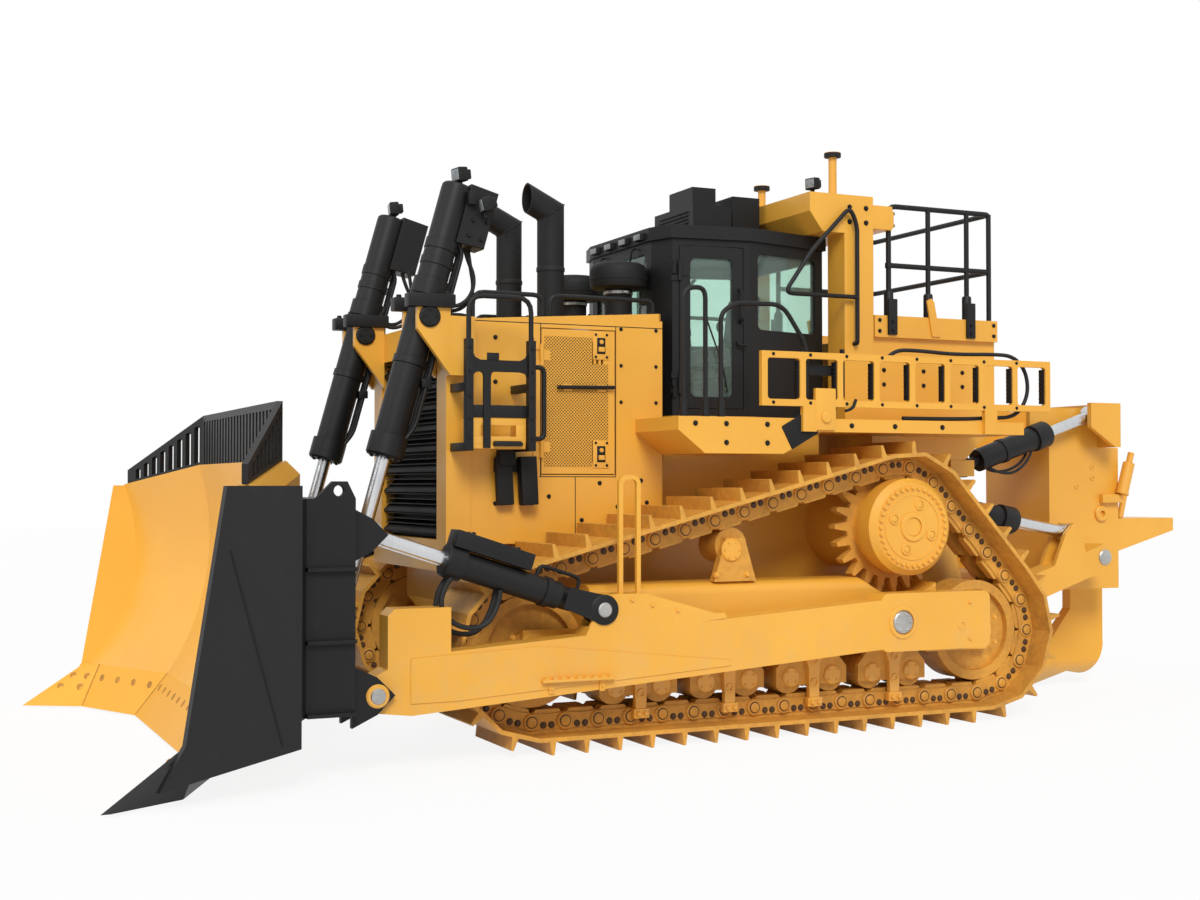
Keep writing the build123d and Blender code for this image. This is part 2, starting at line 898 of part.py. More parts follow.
# Stacks and air intakes on the hood
hood_plane = Plane(
    origin=(station(hood_rear), 0, hood_rear_top),
    x_dir=(hood_front - hood_rear, 0, hood_front_top - hood_rear_top),
    z_dir=(hood_rear_top - hood_front_top, 0, hood_front - hood_rear),
)
stack_way = (math.cos(math.radians(stack_tilt)), 0, math.sin(math.radians(stack_tilt)))
stack_joint = (station(stack_ahead), stack_half_spacing, stack_elbow)
with BuildPart() as exhaust_stacks:
    with BuildSketch(Plane.XY.offset(stack_elbow)):
        with Locations((station(stack_ahead), stack_half_spacing)):
            Circle(stack_radius)
    extrude(amount=hood_front_top - stack_elbow)
    split(bisect_by=hood_plane, keep=Keep.TOP)
    with Locations(stack_joint):
        Sphere(stack_radius)
    with BuildSketch(Plane(origin=stack_joint, x_dir=(0, 1, 0), z_dir=stack_way)):
        Circle(stack_radius)
    extrude(amount=stack_mouth)
    with BuildSketch(Plane(origin=stack_joint, x_dir=(0, 1, 0), z_dir=stack_way).offset(stack_mouth)):
        Circle(stack_radius - stack_wall)
    extrude(amount=-stack_mouth_depth, mode=Mode.SUBTRACT)
    mirror(about=Plane.XZ)
exhaust_stacks.part.label = "exhaust_stacks"
export_step(exhaust_stacks.part, "parts/exhaust_stacks.step")

with BuildPart() as precleaners:
    with BuildSketch(Plane.XY.offset(precleaner_bottom)):
        with Locations((station(precleaner_ahead), stack_half_spacing)):
            Circle(precleaner_pipe)
    extrude(amount=hood_front_top - precleaner_bottom)
    split(bisect_by=hood_plane, keep=Keep.TOP)
    with BuildSketch(Plane.XY.offset(precleaner_bottom)):
        with Locations((station(precleaner_ahead), stack_half_spacing)):
            Circle(precleaner_radius)
    extrude(amount=precleaner_height)
    chamfer(precleaners.faces().sort_by(Axis.Z)[-1].edges(), precleaner_edge)
    mirror(about=Plane.XZ)
precleaners.part.label = "precleaners"
export_step(precleaners.part, "parts/precleaners.step")

# Fenders
with BuildPart() as fenders:
    with BuildSketch(at_y((fender_inner + fender_outer) / 2)):
        Polygon(
            (station(fender_rear), fender_bottom),
            (station(fender_box_rear), fender_bottom),
            (station(fender_box_rear + fender_box_slope), fender_box_bottom),
            (station(fender_front - fender_nose), fender_box_bottom),
            (station(fender_front), fender_bottom),
            (station(fender_front), fender_top),
            (station(fender_rear), fender_top),
            align=None,
        )
    extrude(amount=(fender_outer - fender_inner) / 2, both=True)
    mirror(about=Plane.XZ)
fenders.part.label = "fenders"
export_step(fenders.part, "parts/fenders.step")

# Cab: floor, walls with windows, roof and doors
cab_plan = [
    (station(cab_front), -cab_front_half),
    (station(cab_front), cab_front_half),
    (station(cab_door_front), cab_door_front_half),
    (station(cab_door_rear), cab_door_rear_half),
    (station(cab_rear), cab_rear_half),
    (station(cab_rear), -cab_rear_half),
    (station(cab_door_rear), -cab_door_rear_half),
    (station(cab_door_front), -cab_door_front_half),
]
with BuildPart() as cab_floor:
    with BuildSketch(Plane.XY.offset(cab_floor_height - cab_floor_thickness)):
        Polygon(*cab_plan, align=None)
    extrude(amount=cab_floor_thickness)
    with BuildSketch(at_y(0)):
        Polygon(
            (station(cab_rear), case_top),
            (station(hood_rear - case_step), case_top),
            (station(hood_rear - case_step), cab_floor_height - cab_floor_thickness),
            (station(cab_rear), cab_floor_height - cab_floor_thickness),
            align=None,
        )
    extrude(amount=case_half_width, both=True)
cab_floor.part.label = "cab_floor"
export_step(cab_floor.part, "parts/cab_floor.step")


def wall_plane(start, end, height):
    """Plane on the outer face of a cab wall, X along the wall, Y up, facing out."""
    way = Vector(end[0] - start[0], end[1] - start[1], 0).normalized()
    return Plane(origin=(start[0], start[1], height), x_dir=way, z_dir=way.cross(Vector(0, 0, 1)))


wall_height = cab_roof_bottom - cab_floor_height
window_height = window_top - window_bottom


def wall_length(start, end):
    """Length of a cab wall between two plan corners."""
    return math.dist(start, end)


door_corners = ((cab_plan[2], cab_plan[3]), (cab_plan[6], cab_plan[7]))
window_walls = (
    (cab_plan[3], cab_plan[4]),
    (cab_plan[5], cab_plan[6]),
    (cab_plan[4], cab_plan[5]),
    (cab_plan[0], cab_plan[1]),
)
def door_hinge(start, end):
    """Distance along a door wall to its hinge at the front edge, and which way the door lies from it."""
    if start[0] > end[0]:
        return cab_wall + door_gap / 2, 1
    return wall_length(start, end) - cab_wall - door_gap / 2, -1


def hinge_knuckle(start, end, level, height, way):
    """Solid hinge knuckle on a door wall, its leaf reaching along the wall."""
    along_wall, lie = door_hinge(start, end)
    base = wall_plane(start, end, level)
    with BuildPart(mode=Mode.PRIVATE) as knuckle:
        with BuildSketch(Plane(base.from_local_coords((along_wall, 0, hinge_radius)), x_dir=base.x_dir, z_dir=(0, 0, 1))):
            Circle(hinge_radius)
        extrude(amount=height)
        with BuildSketch(base):
            with Locations((along_wall + way * lie * hinge_leaf / 2, height / 2)):
                Rectangle(hinge_leaf, height)
        extrude(amount=leaf_thickness)
    return knuckle.part


cab_hinge_levels = (cab_floor_height + cab_wall + hinge_inset, cab_roof_bottom - cab_wall - hinge_inset)
with BuildPart() as cab_walls:
    with BuildSketch(Plane.XY.offset(cab_floor_height)):
        Polygon(*cab_plan, align=None)
        offset(amount=-cab_wall, mode=Mode.SUBTRACT)
    extrude(amount=wall_height)
    for start, end in window_walls:
        length = wall_length(start, end)
        with BuildSketch(wall_plane(start, end, window_bottom)):
            with Locations((length / 2, window_height / 2)):
                RectangleRounded(length - 2 * window_post, window_height, window_corner)
        extrude(amount=cab_wall * 1.5, both=True, mode=Mode.SUBTRACT)
    for start, end in door_corners:
        length = wall_length(start, end)
        with BuildSketch(wall_plane(start, end, cab_floor_height)):
            with Locations((length / 2, wall_height / 2)):
                Rectangle(length - 2 * cab_wall, wall_height - 2 * cab_wall)
        extrude(amount=cab_wall * 2, both=True, mode=Mode.SUBTRACT)
        for level in cab_hinge_levels:
            add(hinge_knuckle(start, end, level - hinge_length, hinge_length / 2, -1))
            add(hinge_knuckle(start, end, level + hinge_length / 2, hinge_length / 2, -1))
cab_walls.part.label = "cab_walls"
export_step(cab_walls.part, "parts/cab_walls.step")

with BuildPart() as cab_roof:
    with BuildSketch(Plane.XY.offset(cab_roof_bottom)):
        Polygon(*cab_plan, align=None)
        offset(amount=roof_overhang, kind=Kind.INTERSECTION)
    extrude(amount=cab_roof_top - cab_roof_bottom)
cab_roof.part.label = "cab_roof"
export_step(cab_roof.part, "parts/cab_roof.step")

with BuildPart() as cab_glass:
    for start, end in window_walls:
        length = wall_length(start, end)
        with BuildSketch(wall_plane(start, end, window_bottom).offset(-cab_wall / 2)):
            with Locations((length / 2, window_height / 2)):
                RectangleRounded(length - 2 * window_post, window_height, window_corner)
        extrude(amount=glass_thickness / 2, both=True)
cab_glass.part.label = "cab_glass"
export_step(cab_glass.part, "parts/cab_glass.step")

for (start, end), side in zip(door_corners, ("left", "right")):
    length = wall_length(start, end) - 2 * cab_wall - 2 * door_gap
    height = wall_height - 2 * cab_wall - 2 * door_gap
    middle = wall_length(start, end) / 2
    with BuildPart() as cab_door:
        with BuildSketch(wall_plane(start, end, cab_floor_height)):
            with Locations((middle, wall_height / 2)):
                Rectangle(length, height)
                RectangleRounded(length - 2 * window_post, height - 2 * window_post, window_corner, mode=Mode.SUBTRACT)
        extrude(amount=-door_thickness)
        for level in cab_hinge_levels:
            add(hinge_knuckle(start, end, level - hinge_length / 2, hinge_length, 1))
    cab_door.part.label = f"cab_door_{side}"
    export_step(cab_door.part, f"parts/cab_door_{side}.step")
    with BuildPart() as door_glass:
        with BuildSketch(wall_plane(start, end, cab_floor_height).offset(-door_thickness / 2)):
            with Locations((middle, wall_height / 2)):
                RectangleRounded(length - 2 * window_post, height - 2 * window_post, window_corner)
        extrude(amount=glass_thickness / 2, both=True)
    door_glass.part.label = f"door_glass_{side}"
    export_step(door_glass.part, f"parts/door_glass_{side}.step")

with BuildPart() as operator_seat:
    with Locations((station(seat_ahead), 0, cab_floor_height)):
        Box(seat_depth, seat_base_width, seat_base, align=(Align.CENTER, Align.CENTER, Align.MIN))
    with Locations((station(seat_ahead), 0, cab_floor_height + seat_base)):
        Box(seat_depth, seat_width, seat_cushion, align=(Align.CENTER, Align.CENTER, Align.MIN))
    with BuildSketch(at_y(0)):
        with Locations((station(seat_ahead) - seat_depth / 2, cab_floor_height + seat_base + seat_cushion)):
            Polygon(
                (0, 0),
                (seat_back_depth, 0),
                (seat_back_depth - seat_recline, seat_back),
                (-seat_recline, seat_back),
                align=None,
            )
    extrude(amount=seat_width / 2, both=True)
    for side in (-1, 1):
        with Locations((station(seat_ahead), side * seat_width / 2, cab_floor_height + seat_base)):
            Box(seat_depth, arm_rest, arm_rest_height, align=(Align.CENTER, Align.CENTER, Align.MIN))
operator_seat.part.label = "operator_seat"
export_step(operator_seat.part, "parts/operator_seat.step")

with BuildPart() as console:
    with BuildSketch(at_y(0)):
        Polygon(
            (station(console_ahead) - console_depth / 2, cab_floor_height),
            (station(console_ahead) + console_depth / 2, cab_floor_height),
            (station(console_ahead) + console_depth / 2, cab_floor_height + console_height),
            (station(console_ahead), cab_floor_height + console_height),
            align=None,
        )
    extrude(amount=console_width / 2, both=True)
console.part.label = "console"
export_step(console.part, "parts/console.step")

# Protective frame over the cab, rear tank and its rails
with BuildPart() as rops:
    with BuildSketch(at_y(0)):
        Polygon(
            (station(rops_rear), rops_bottom),
            (station(rops_front - rops_chin), rops_bottom),
            (station(rops_front), rops_bottom + rops_chin_height),
            (station(rops_front), rops_top),
            (station(rops_rear), rops_top),
            align=None,
        )
    extrude(amount=rops_half_width, both=True)
    with BuildSketch(Plane.XY.offset(fender_top)):
        with Locations((station(rops_rear + rops_post_depth / 2), rops_half_width - rops_post_width / 2)):
            Rectangle(rops_post_depth, rops_post_width)
    extrude(amount=rops_bottom - fender_top)
    with BuildSketch(Plane.XY.offset(fender_top)):
        with Locations((station(rops_rear + rops_post_depth / 2), rops_post_width / 2 - rops_half_width)):
            Rectangle(rops_post_depth, rops_post_width)
    extrude(amount=rops_bottom - fender_top)
rops.part.label = "rops"
export_step(rops.part, "parts/rops.step")

with BuildPart() as fuel_tank:
    with BuildSketch(at_y(0)):
        Polygon(
            (station(case_rear), case_top),
            (station(tank_front), case_top),
            (station(tank_front), tank_top),
            (station(tank_rear), tank_top),
            (station(tank_rear), case_top + tank_tail_rise),
            align=None,
        )
    extrude(amount=tank_half_width, both=True)
    for side in (-1, 1):
        with Locations((station((tank_front + tank_rear) / 2), side * tank_half_width, tank_top)):
            Box(tank_front - tank_rear, deck_beam_width, deck_beam_height, align=(Align.CENTER, Align.CENTER, Align.MIN))
fuel_tank.part.label = "fuel_tank"
export_step(fuel_tank.part, "parts/fuel_tank.step")

post_places = [station(ahead) for ahead in post_stations]
deck_top = tank_top + deck_beam_height
with BuildPart() as guardrails:
    for side in (-1, 1):
        for x in post_places:
            with BuildSketch(Plane.XY.offset(deck_top)):
                with Locations((x, side * tank_half_width)):
                    Circle(rail_radius)
            extrude(amount=rail_top - deck_top)
        for level in (rail_mid, rail_top):
            with BuildSketch(Plane(origin=(post_places[-1], side * tank_half_width, level), z_dir=(1, 0, 0))):
                Circle(rail_radius)
            extrude(amount=post_places[0] - post_places[-1])
    for level in (rail_mid, rail_top):
        with BuildSketch(Plane(origin=(post_places[-1], 0, level), z_dir=(0, 1, 0))):
            Circle(rail_radius)
        extrude(amount=tank_half_width, both=True)
guardrails.part.label = "guardrails"
export_step(guardrails.part, "parts/guardrails.step")

# Stowed access ladder along the left fender
ladder_pitch = (ladder_front - ladder_rear - ladder_rail) / ladder_openings
ladder_y = fender_outer + ladder_thickness / 2
with BuildPart() as access_ladder:
    with BuildSketch(at_y(ladder_y)):
        with Locations((station((ladder_front + ladder_rear) / 2), (ladder_top + ladder_bottom) / 2)):
            Rectangle(ladder_front - ladder_rear, ladder_top - ladder_bottom)
        for i in range(ladder_openings):
            middle = station(ladder_rear + ladder_rail + (i + 0.5) * ladder_pitch - ladder_rail / 2)
            with Locations((middle, (ladder_top + ladder_bottom) / 2)):
                RectangleRounded(
                    ladder_pitch - ladder_rail,
                    ladder_top - ladder_bottom - 2 * ladder_rail,
                    ladder_corner,
                    mode=Mode.SUBTRACT,
                )
    extrude(amount=ladder_thickness / 2, both=True)
    for ahead in ladder_feet:
        with Locations((station(ahead), ladder_y, fender_bottom)):
            Box(ladder_foot, ladder_thickness, ladder_bottom - fender_bottom, align=(Align.CENTER, Align.CENTER, Align.MIN))
access_ladder.part.label = "access_ladder"
export_step(access_ladder.part, "parts/access_ladder.step")

# Push arms
arm_y = (arm_inner + arm_outer) / 2
arm_half = (arm_outer - arm_inner) / 2
arm_ear_offset = arm_half + swing_gap + ear_thickness / 2
arm_pin = (station(arm_pin_ahead), arm_pin_height)
with BuildPart() as push_arms:
    with BuildSketch(at_y(arm_y)):
        with Locations((station(trunnion_ahead), trunnion_height)):
            Circle(arm_rear_radius)
        with Locations((station(arm_pin_ahead), arm_pin_height)):
            Circle(arm_eye_radius)
        with Locations((station(trunnion_ahead + (arm_tail_front - arm_tail) / 2), trunnion_height)):
            RectangleRounded(arm_tail + arm_tail_front, 2 * arm_tail_half, arm_tail_corner)
        Polygon(
            (station(arm_box_rear), arm_pin_height),
            (station(arm_box_rear), arm_box_top),
            (station(arm_box_front) - arm_box_corner, arm_box_top),
            (station(arm_box_front), arm_box_top - arm_box_corner),
            (station(arm_box_front), arm_pin_height),
            align=None,
        )
        Polygon(
            (station(trunnion_ahead), trunnion_height + arm_rear_radius),
            (station(trunnion_ahead), trunnion_height - arm_rear_radius),
            (station(arm_pin_ahead - arm_neck), arm_pin_height - arm_neck_drop),
            (station(arm_pin_ahead), arm_pin_height - arm_eye_radius),
            (station(arm_pin_ahead), arm_pin_height + arm_eye_radius),
            (station(arm_pin_ahead - arm_neck), arm_pin_height + arm_neck_rise),
            align=None,
        )
        Polygon(
            (station(brace_rear_ahead - brace_bracket_rear), brace_rear_height - brace_bracket_drop),
            (station(brace_rear_ahead - brace_bracket_top), brace_rear_height + brace_eye_radius),
            (station(brace_rear_ahead), brace_rear_height + brace_eye_radius),
            (station(brace_rear_ahead + brace_bracket_nose), brace_rear_height - brace_bracket_toe),
            align=None,
        )
        with Locations((station(trunnion_ahead), trunnion_height)):
            Circle(trunnion_radius + running_gap, mode=Mode.SUBTRACT)
    extrude(amount=arm_half, both=True)
    with BuildSketch(at_y(arm_y)):
        with Locations(arm_pin):
            Circle(arm_pin_radius)
    extrude(amount=arm_ear_offset + ear_thickness / 2, both=True)
    with BuildSketch(at_y(arm_y)):
        with Locations((station(brace_rear_ahead), brace_rear_height)):
            Rectangle(2 * brace_eye_radius + 2 * swing_gap, 2 * brace_eye_radius + 2 * swing_gap)
        with Locations((station(brace_rear_ahead), brace_rear_height - brace_eye_radius - swing_gap)):
            Rectangle(slot_length, 2 * brace_eye_radius + slot_rise, align=(Align.MIN, Align.MIN))
    extrude(amount=eye_width / 2 + swing_gap, both=True, mode=Mode.SUBTRACT)
    with BuildSketch(at_y(arm_y)):
        with Locations((station(brace_rear_ahead), brace_rear_height)):
            Circle(brace_pin_radius)
    extrude(amount=arm_half, both=True)
    hoop_middle = (station((hoop_front + hoop_rear) / 2), (hoop_top + brace_rear_height) / 2)
    with BuildSketch(at_y(arm_y)):
        with Locations(hoop_middle):
            RectangleRounded(hoop_front - hoop_rear, hoop_top - brace_rear_height, 2 * hoop_bar)
            RectangleRounded(
                hoop_front - hoop_rear - 2 * hoop_bar,
                hoop_top - brace_rear_height - 2 * hoop_bar,
                hoop_bar,
                mode=Mode.SUBTRACT,
            )
    extrude(amount=hoop_bar / 2, both=True)
    mirror(about=Plane.XZ)
push_arms.part.label = "push_arms"
export_step(push_arms.part, "parts/push_arms.step")

with BuildPart() as trunnions:
    with BuildSketch(at_y((track_y + frame_width / 2 + arm_outer) / 2)):
        with Locations((station(trunnion_ahead), trunnion_height)):
            Circle(trunnion_radius)
    extrude(amount=(arm_outer - track_y - frame_width / 2) / 2, both=True)
    mirror(about=Plane.XZ)
trunnions.part.label = "trunnions"
export_step(trunnions.part, "parts/trunnions.step")


# Blade: one curved section carried round the centre and the swept wings, trimmed by slanted ends
wing_slope = math.tan(math.radians(wing_angle))
wing_reach = (blade_half_width - blade_centre_half) * wing_slope
front_x = station(blade_front_ahead)
edge_top = blade_clear + edge_height
top_x = front_x - blade_top_setback
blade_depth = blade_front_ahead - blade_back_ahead - back_box_depth
back_x = station(blade_back_ahead)
box_front = front_x - blade_depth
end_rear = Vector(station(end_rear_ahead), end_rear_half, 0)
end_front = Vector(front_x + wing_reach, end_front_half, 0)
end_way = (end_front - end_rear).normalized()
end_plane = Plane(origin=end_rear, x_dir=end_way, z_dir=end_way.cross(Vector(0, 0, 1)))
mirror_way = Vector(end_way.X, -end_way.Y, 0)
far_plane = Plane(
    origin=(end_rear.X, -end_rear.Y, 0),
    x_dir=mirror_way,
    z_dir=Vector(0, 0, 1).cross(mirror_way),
)


def blade_section(shift, half_span, top):
    """Sideways section of the moldboard: a hollow front face, a flat back."""
    front = front_x + shift
    top_front = front - blade_top_setback
    middle = ((front + top_front) / 2 - blade_hollow, (edge_top + top) / 2)
    with BuildSketch(at_y(half_span)) as section:
        with BuildLine():
            ThreePointArc((front, edge_top), middle, (top_front, top))
            Polyline(
                (top_front, top),
                (top_front - blade_lip, top),
                (front - blade_depth, top - blade_lip),
                (front - blade_depth, edge_top),
                (front, edge_top),
            )
        make_face()
    return section.sketch


blade_stations = (
    (wing_reach, -blade_half_width, wing_top),
    (0, -blade_centre_half, blade_top),
    (0, blade_centre_half, blade_top),
    (wing_reach, blade_half_width, wing_top),
)
with BuildPart() as moldboard:
    loft([blade_section(*place).face() for place in blade_stations], ruled=True)
    split(bisect_by=end_plane, keep=Keep.TOP)
    split(bisect_by=far_plane, keep=Keep.TOP)
moldboard.part.label = "moldboard"
export_step(moldboard.part, "parts/moldboard.step")

# Cutting edge: three raked plates below the moldboard with mitred corners, and a flared bit at each end
mitre_back = Vector(-edge_thickness, edge_thickness * math.tan(math.radians(wing_angle / 2)), 0)
wing_back = Vector(-edge_thickness / math.cos(math.radians(wing_angle)), 0, 0)
kink_rim = Vector(front_x, blade_centre_half, edge_top)
kink_tip = Vector(front_x + edge_run, edge_kink_half, blade_clear)
wing_rim = Vector(front_x + (bit_root_half - blade_centre_half) * wing_slope, bit_root_half, edge_top)
wing_tip = Vector(kink_tip.X + (bit_root_half - edge_kink_half) * wing_slope, bit_root_half, blade_clear)
bit_rim = Vector(end_front.X, end_front.Y, edge_top)
bit_tip = Vector(station(blade_reach), bit_tip_half, blade_clear)


def edge_section(tip, rim, back, side):
    """Face across the cutting edge from its ground edge, its rim and the way to its back, on one side."""
    corners = [tip, rim, rim + back, tip + back]
    return Face(Wire.make_polygon([(corner.X, side * corner.Y, corner.Z) for corner in corners]))


edge_places = ((bit_tip, bit_rim, wing_back), (wing_tip, wing_rim, wing_back), (kink_tip, kink_rim, mitre_back))
with BuildPart() as cutting_edges:
    far_sections = [edge_section(*place, -1) for place in edge_places]
    near_sections = [edge_section(*place, 1) for place in reversed(edge_places)]
    loft([*far_sections, *near_sections], ruled=True)
    split(bisect_by=end_plane, keep=Keep.TOP)
    split(bisect_by=far_plane, keep=Keep.TOP)
cutting_edges.part.label = "cutting_edges"
export_step(cutting_edges.part, "parts/cutting_edges.step")

# Blade back: a box with side ribs and lifting lugs, and the ears that take arms, braces and lift rods
eye_ear_offset = eye_width / 2 + swing_gap + ear_thickness / 2


def ear_outline(pin, eye_radius, root_half):
    """Side outline of an ear that runs from the blade back to its pin."""
    return [
        (back_x, pin[1] - root_half),
        (pin[0], pin[1] - eye_radius),
        (pin[0] - eye_radius, pin[1]),
        (pin[0], pin[1] + eye_radius),
        (back_x, pin[1] + root_half),
    ]


brace_front = (station(brace_front_ahead), brace_front_height)
brace_rear = (station(brace_rear_ahead), brace_rear_height)
lift_pin = (station(lift_pin_ahead), lift_pin_height)
lift_trunnion = (station(lift_trunnion_ahead), lift_trunnion_height)
back_plan = [
    (back_x, blade_back_half),
    (end_rear.X - back_corner, blade_back_half),
    (end_rear.X, end_rear_half),
    (box_front + (end_rear_half - blade_centre_half) * wing_slope, end_rear_half),
    (box_front, blade_centre_half),
]
rib_length = end_rear.X - back_corner - back_x
rib_levels = [blade_back_bottom + share * (blade_back_top - blade_back_bottom) for share in (0, 1 / 3, 2 / 3)]
with BuildPart() as blade_back:
    with BuildSketch(Plane.XY.offset(blade_back_bottom)):
        Polygon(*[(x, -y) for x, y in back_plan], *reversed(back_plan), align=None)
    extrude(amount=blade_back_top - blade_back_bottom)
    for side in (-1, 1):
        with BuildSketch(at_y(side * (blade_back_half - ear_thickness / 2))):
            Polygon(
                (back_x, blade_back_top),
                (back_x + lug_height / 2, blade_back_top + lug_height),
                (back_x + lug_length - lug_height, blade_back_top + lug_height),
                (back_x + lug_length, blade_back_top),
                align=None,
            )
            with Locations((back_x + lug_height, blade_back_top + lug_hole_height)):
                Circle(lug_hole_radius, mode=Mode.SUBTRACT)
        extrude(amount=ear_thickness / 2, both=True)
        for level in rib_levels:
            with Locations((back_x, side * blade_back_half, level)):
                Box(rib_length, 2 * side_rib, side_rib_thickness, align=(Align.MIN, Align.CENTER, Align.MIN))
blade_back.part.label = "blade_back"
export_step(blade_back.part, "parts/blade_back.step")

with BuildPart() as blade_ears:
    for side in (-1, 1):
        for face in (-1, 1):
            with BuildSketch(at_y(side * (arm_y + face * arm_ear_offset))):
                Polygon(*ear_outline(arm_pin, arm_eye_radius, arm_ear_root), align=None)
                with Locations(arm_pin):
                    Circle(arm_pin_radius + running_gap, mode=Mode.SUBTRACT)
            extrude(amount=ear_thickness / 2, both=True)
            with BuildSketch(at_y(side * (arm_y + face * eye_ear_offset))):
                Polygon(*ear_outline(brace_front, brace_eye_radius, brace_ear_root), align=None)
            extrude(amount=ear_thickness / 2, both=True)
            with BuildSketch(at_y(side * (lift_half_spacing + face * eye_ear_offset))):
                Polygon(*ear_outline(lift_pin, lift_eye_radius, lift_ear_root), align=None)
            extrude(amount=ear_thickness / 2, both=True)
blade_ears.part.label = "blade_ears"
export_step(blade_ears.part, "parts/blade_ears.step")

end_top_run = (top_x + wing_reach - end_rear.X) / end_way.X
end_low_run = (end_front.X - end_rear.X) / end_way.X
with BuildPart() as blade_ends:
    with BuildSketch(end_plane):
        Polygon(
            (0, end_bottom),
            (0, wing_top + end_rise),
            (end_top_run + end_proud, wing_top + end_rise),
            (end_low_run + end_proud, edge_top),
            (end_low_run + end_nose, end_nose_height),
            align=None,
        )
    extrude(amount=-bit_thickness)
    mirror(about=Plane.XZ)
blade_ends.part.label = "blade_ends"
export_step(blade_ends.part, "parts/blade_ends.step")

# Slatted rock guard on the blade's top edge, tapering off over the wings
guard_x = top_x - guard_setback
wing_way = Vector(wing_slope, 1, 0).normalized()
guard_plane = Plane(origin=(guard_x, blade_centre_half, 0), x_dir=wing_way, z_dir=wing_way.cross(Vector(0, 0, 1)))
guard_run = (guard_wing_half - blade_centre_half) / wing_way.Y
lip_fall = (blade_top - wing_top) / (blade_half_width - blade_centre_half) * wing_way.Y


def guard_low(run):
    """Height of the wing's top edge, with its small gap, at a run along the guard."""
    return blade_top - run * lip_fall + guard_lift


def guard_high(run):
    """Height of the guard's sloping top at a run along it."""
    tail = guard_low(guard_run) + guard_wing_end
    return blade_top + guard_rail_height + (tail - blade_top - guard_rail_height) * run / guard_run


with BuildPart() as rock_guard:
    with Locations((guard_x, 0, blade_top + guard_rail_height)):
        Box(
            guard_thickness,
            2 * blade_centre_half,
            guard_rail,
            align=(Align.CENTER, Align.CENTER, Align.MAX),
        )
    bar_step = (2 * blade_centre_half - guard_bar) / guard_bar_count
    for i in range(guard_bar_count + 1):
        with Locations((guard_x, (i - guard_bar_count / 2) * bar_step, blade_top)):
            Box(guard_thickness, guard_bar, guard_rail_height, align=(Align.CENTER, Align.CENTER, Align.MIN))
    with BuildSketch(guard_plane):
        Polygon(
            (0, guard_low(0)),
            (0, guard_high(0)),
            (guard_run, guard_high(guard_run)),
            (guard_run, guard_low(guard_run)),
            align=None,
        )
        slot_step = guard_run / guard_wing_slots
        for i in range(guard_wing_slots - 1):
            start = i * slot_step + guard_bar
            end = (i + 1) * slot_step
            Polygon(
                (start, guard_low(start) + guard_rail / 2),
                (start, guard_high(start) - guard_rail),
                (end, guard_high(end) - guard_rail),
                (end, guard_low(end) + guard_rail / 2),
                align=None,
                mode=Mode.SUBTRACT,
            )
    extrude(amount=guard_thickness / 2, both=True)
    mirror(about=Plane.XZ)
rock_guard.part.label = "rock_guard"
export_step(rock_guard.part, "parts/rock_guard.step")

# Lift cylinders in trunnions on the radiator guard, with hose guards round their heads
lift_way = along(lift_trunnion, lift_pin).z_dir


def beside_lift(up, back):
    """X and Z of a place by how far up the barrel from its trunnion and how far behind its axis."""
    return (
        lift_trunnion[0] - up * lift_way.X + back * lift_way.Z,
        lift_trunnion[1] - up * lift_way.Z - back * lift_way.X,
    )


hose_guard_outline = [
    beside_lift(hose_guard_top, hose_guard_reach),
    beside_lift(hose_guard_bottom, hose_guard_reach),
    beside_lift(hose_guard_bottom - hose_guard_taper, lift_barrel_radius),
    beside_lift(hose_guard_bottom - hose_guard_taper, -lift_barrel_radius),
    beside_lift(hose_guard_top, -lift_barrel_radius),
]
with BuildPart() as lift_barrels:
    for side in (-1, 1):
        axis_plane = along(lift_trunnion, lift_pin)
        centre = Vector(lift_trunnion[0], side * lift_half_spacing, lift_trunnion[1])
        with BuildSketch(Plane(origin=centre, x_dir=(0, 1, 0), z_dir=axis_plane.z_dir).offset(-lift_barrel_above)):
            Circle(lift_barrel_radius)
        extrude(amount=lift_barrel_above + lift_barrel_below)
        with BuildSketch(at_y(side * lift_half_spacing)):
            Polygon(*hose_guard_outline, align=None)
        extrude(amount=hose_guard_half, both=True)
        with BuildSketch(
            Plane(origin=centre, x_dir=(0, 1, 0), z_dir=axis_plane.z_dir).offset(lift_head - lift_barrel_above)
        ):
            Circle(lift_rod_radius + running_gap)
        extrude(amount=lift_barrel_above + lift_barrel_below, mode=Mode.SUBTRACT)
        for cheek in (-1, 1):
            inner = side * lift_half_spacing + cheek * (lift_barrel_radius - trunnion_root)
            with BuildSketch(at_y(inner)):
                with Locations(lift_trunnion):
                    Circle(lift_pin_radius)
            extrude(amount=-cheek * (trunnion_root + cheek_gap + ear_thickness))
lift_barrels.part.label = "lift_barrels"
export_step(lift_barrels.part, "parts/lift_barrels.step")

lift_length = distance(lift_trunnion, lift_pin)
with BuildPart() as lift_rods:
    for side in (-1, 1):
        axis_plane = along(lift_trunnion, lift_pin)
        centre = Vector(lift_trunnion[0], side * lift_half_spacing, lift_trunnion[1])
        with BuildSketch(Plane(origin=centre, x_dir=(0, 1, 0), z_dir=axis_plane.z_dir).offset(lift_rod_start)):
            Circle(lift_rod_radius)
        extrude(amount=lift_length - lift_rod_start)
        with BuildSketch(at_y(side * lift_half_spacing)):
            with Locations(lift_pin):
                Circle(lift_eye_radius)
        extrude(amount=eye_width / 2, both=True)
lift_rods.part.label = "lift_rods"
export_step(lift_rods.part, "parts/lift_rods.step")

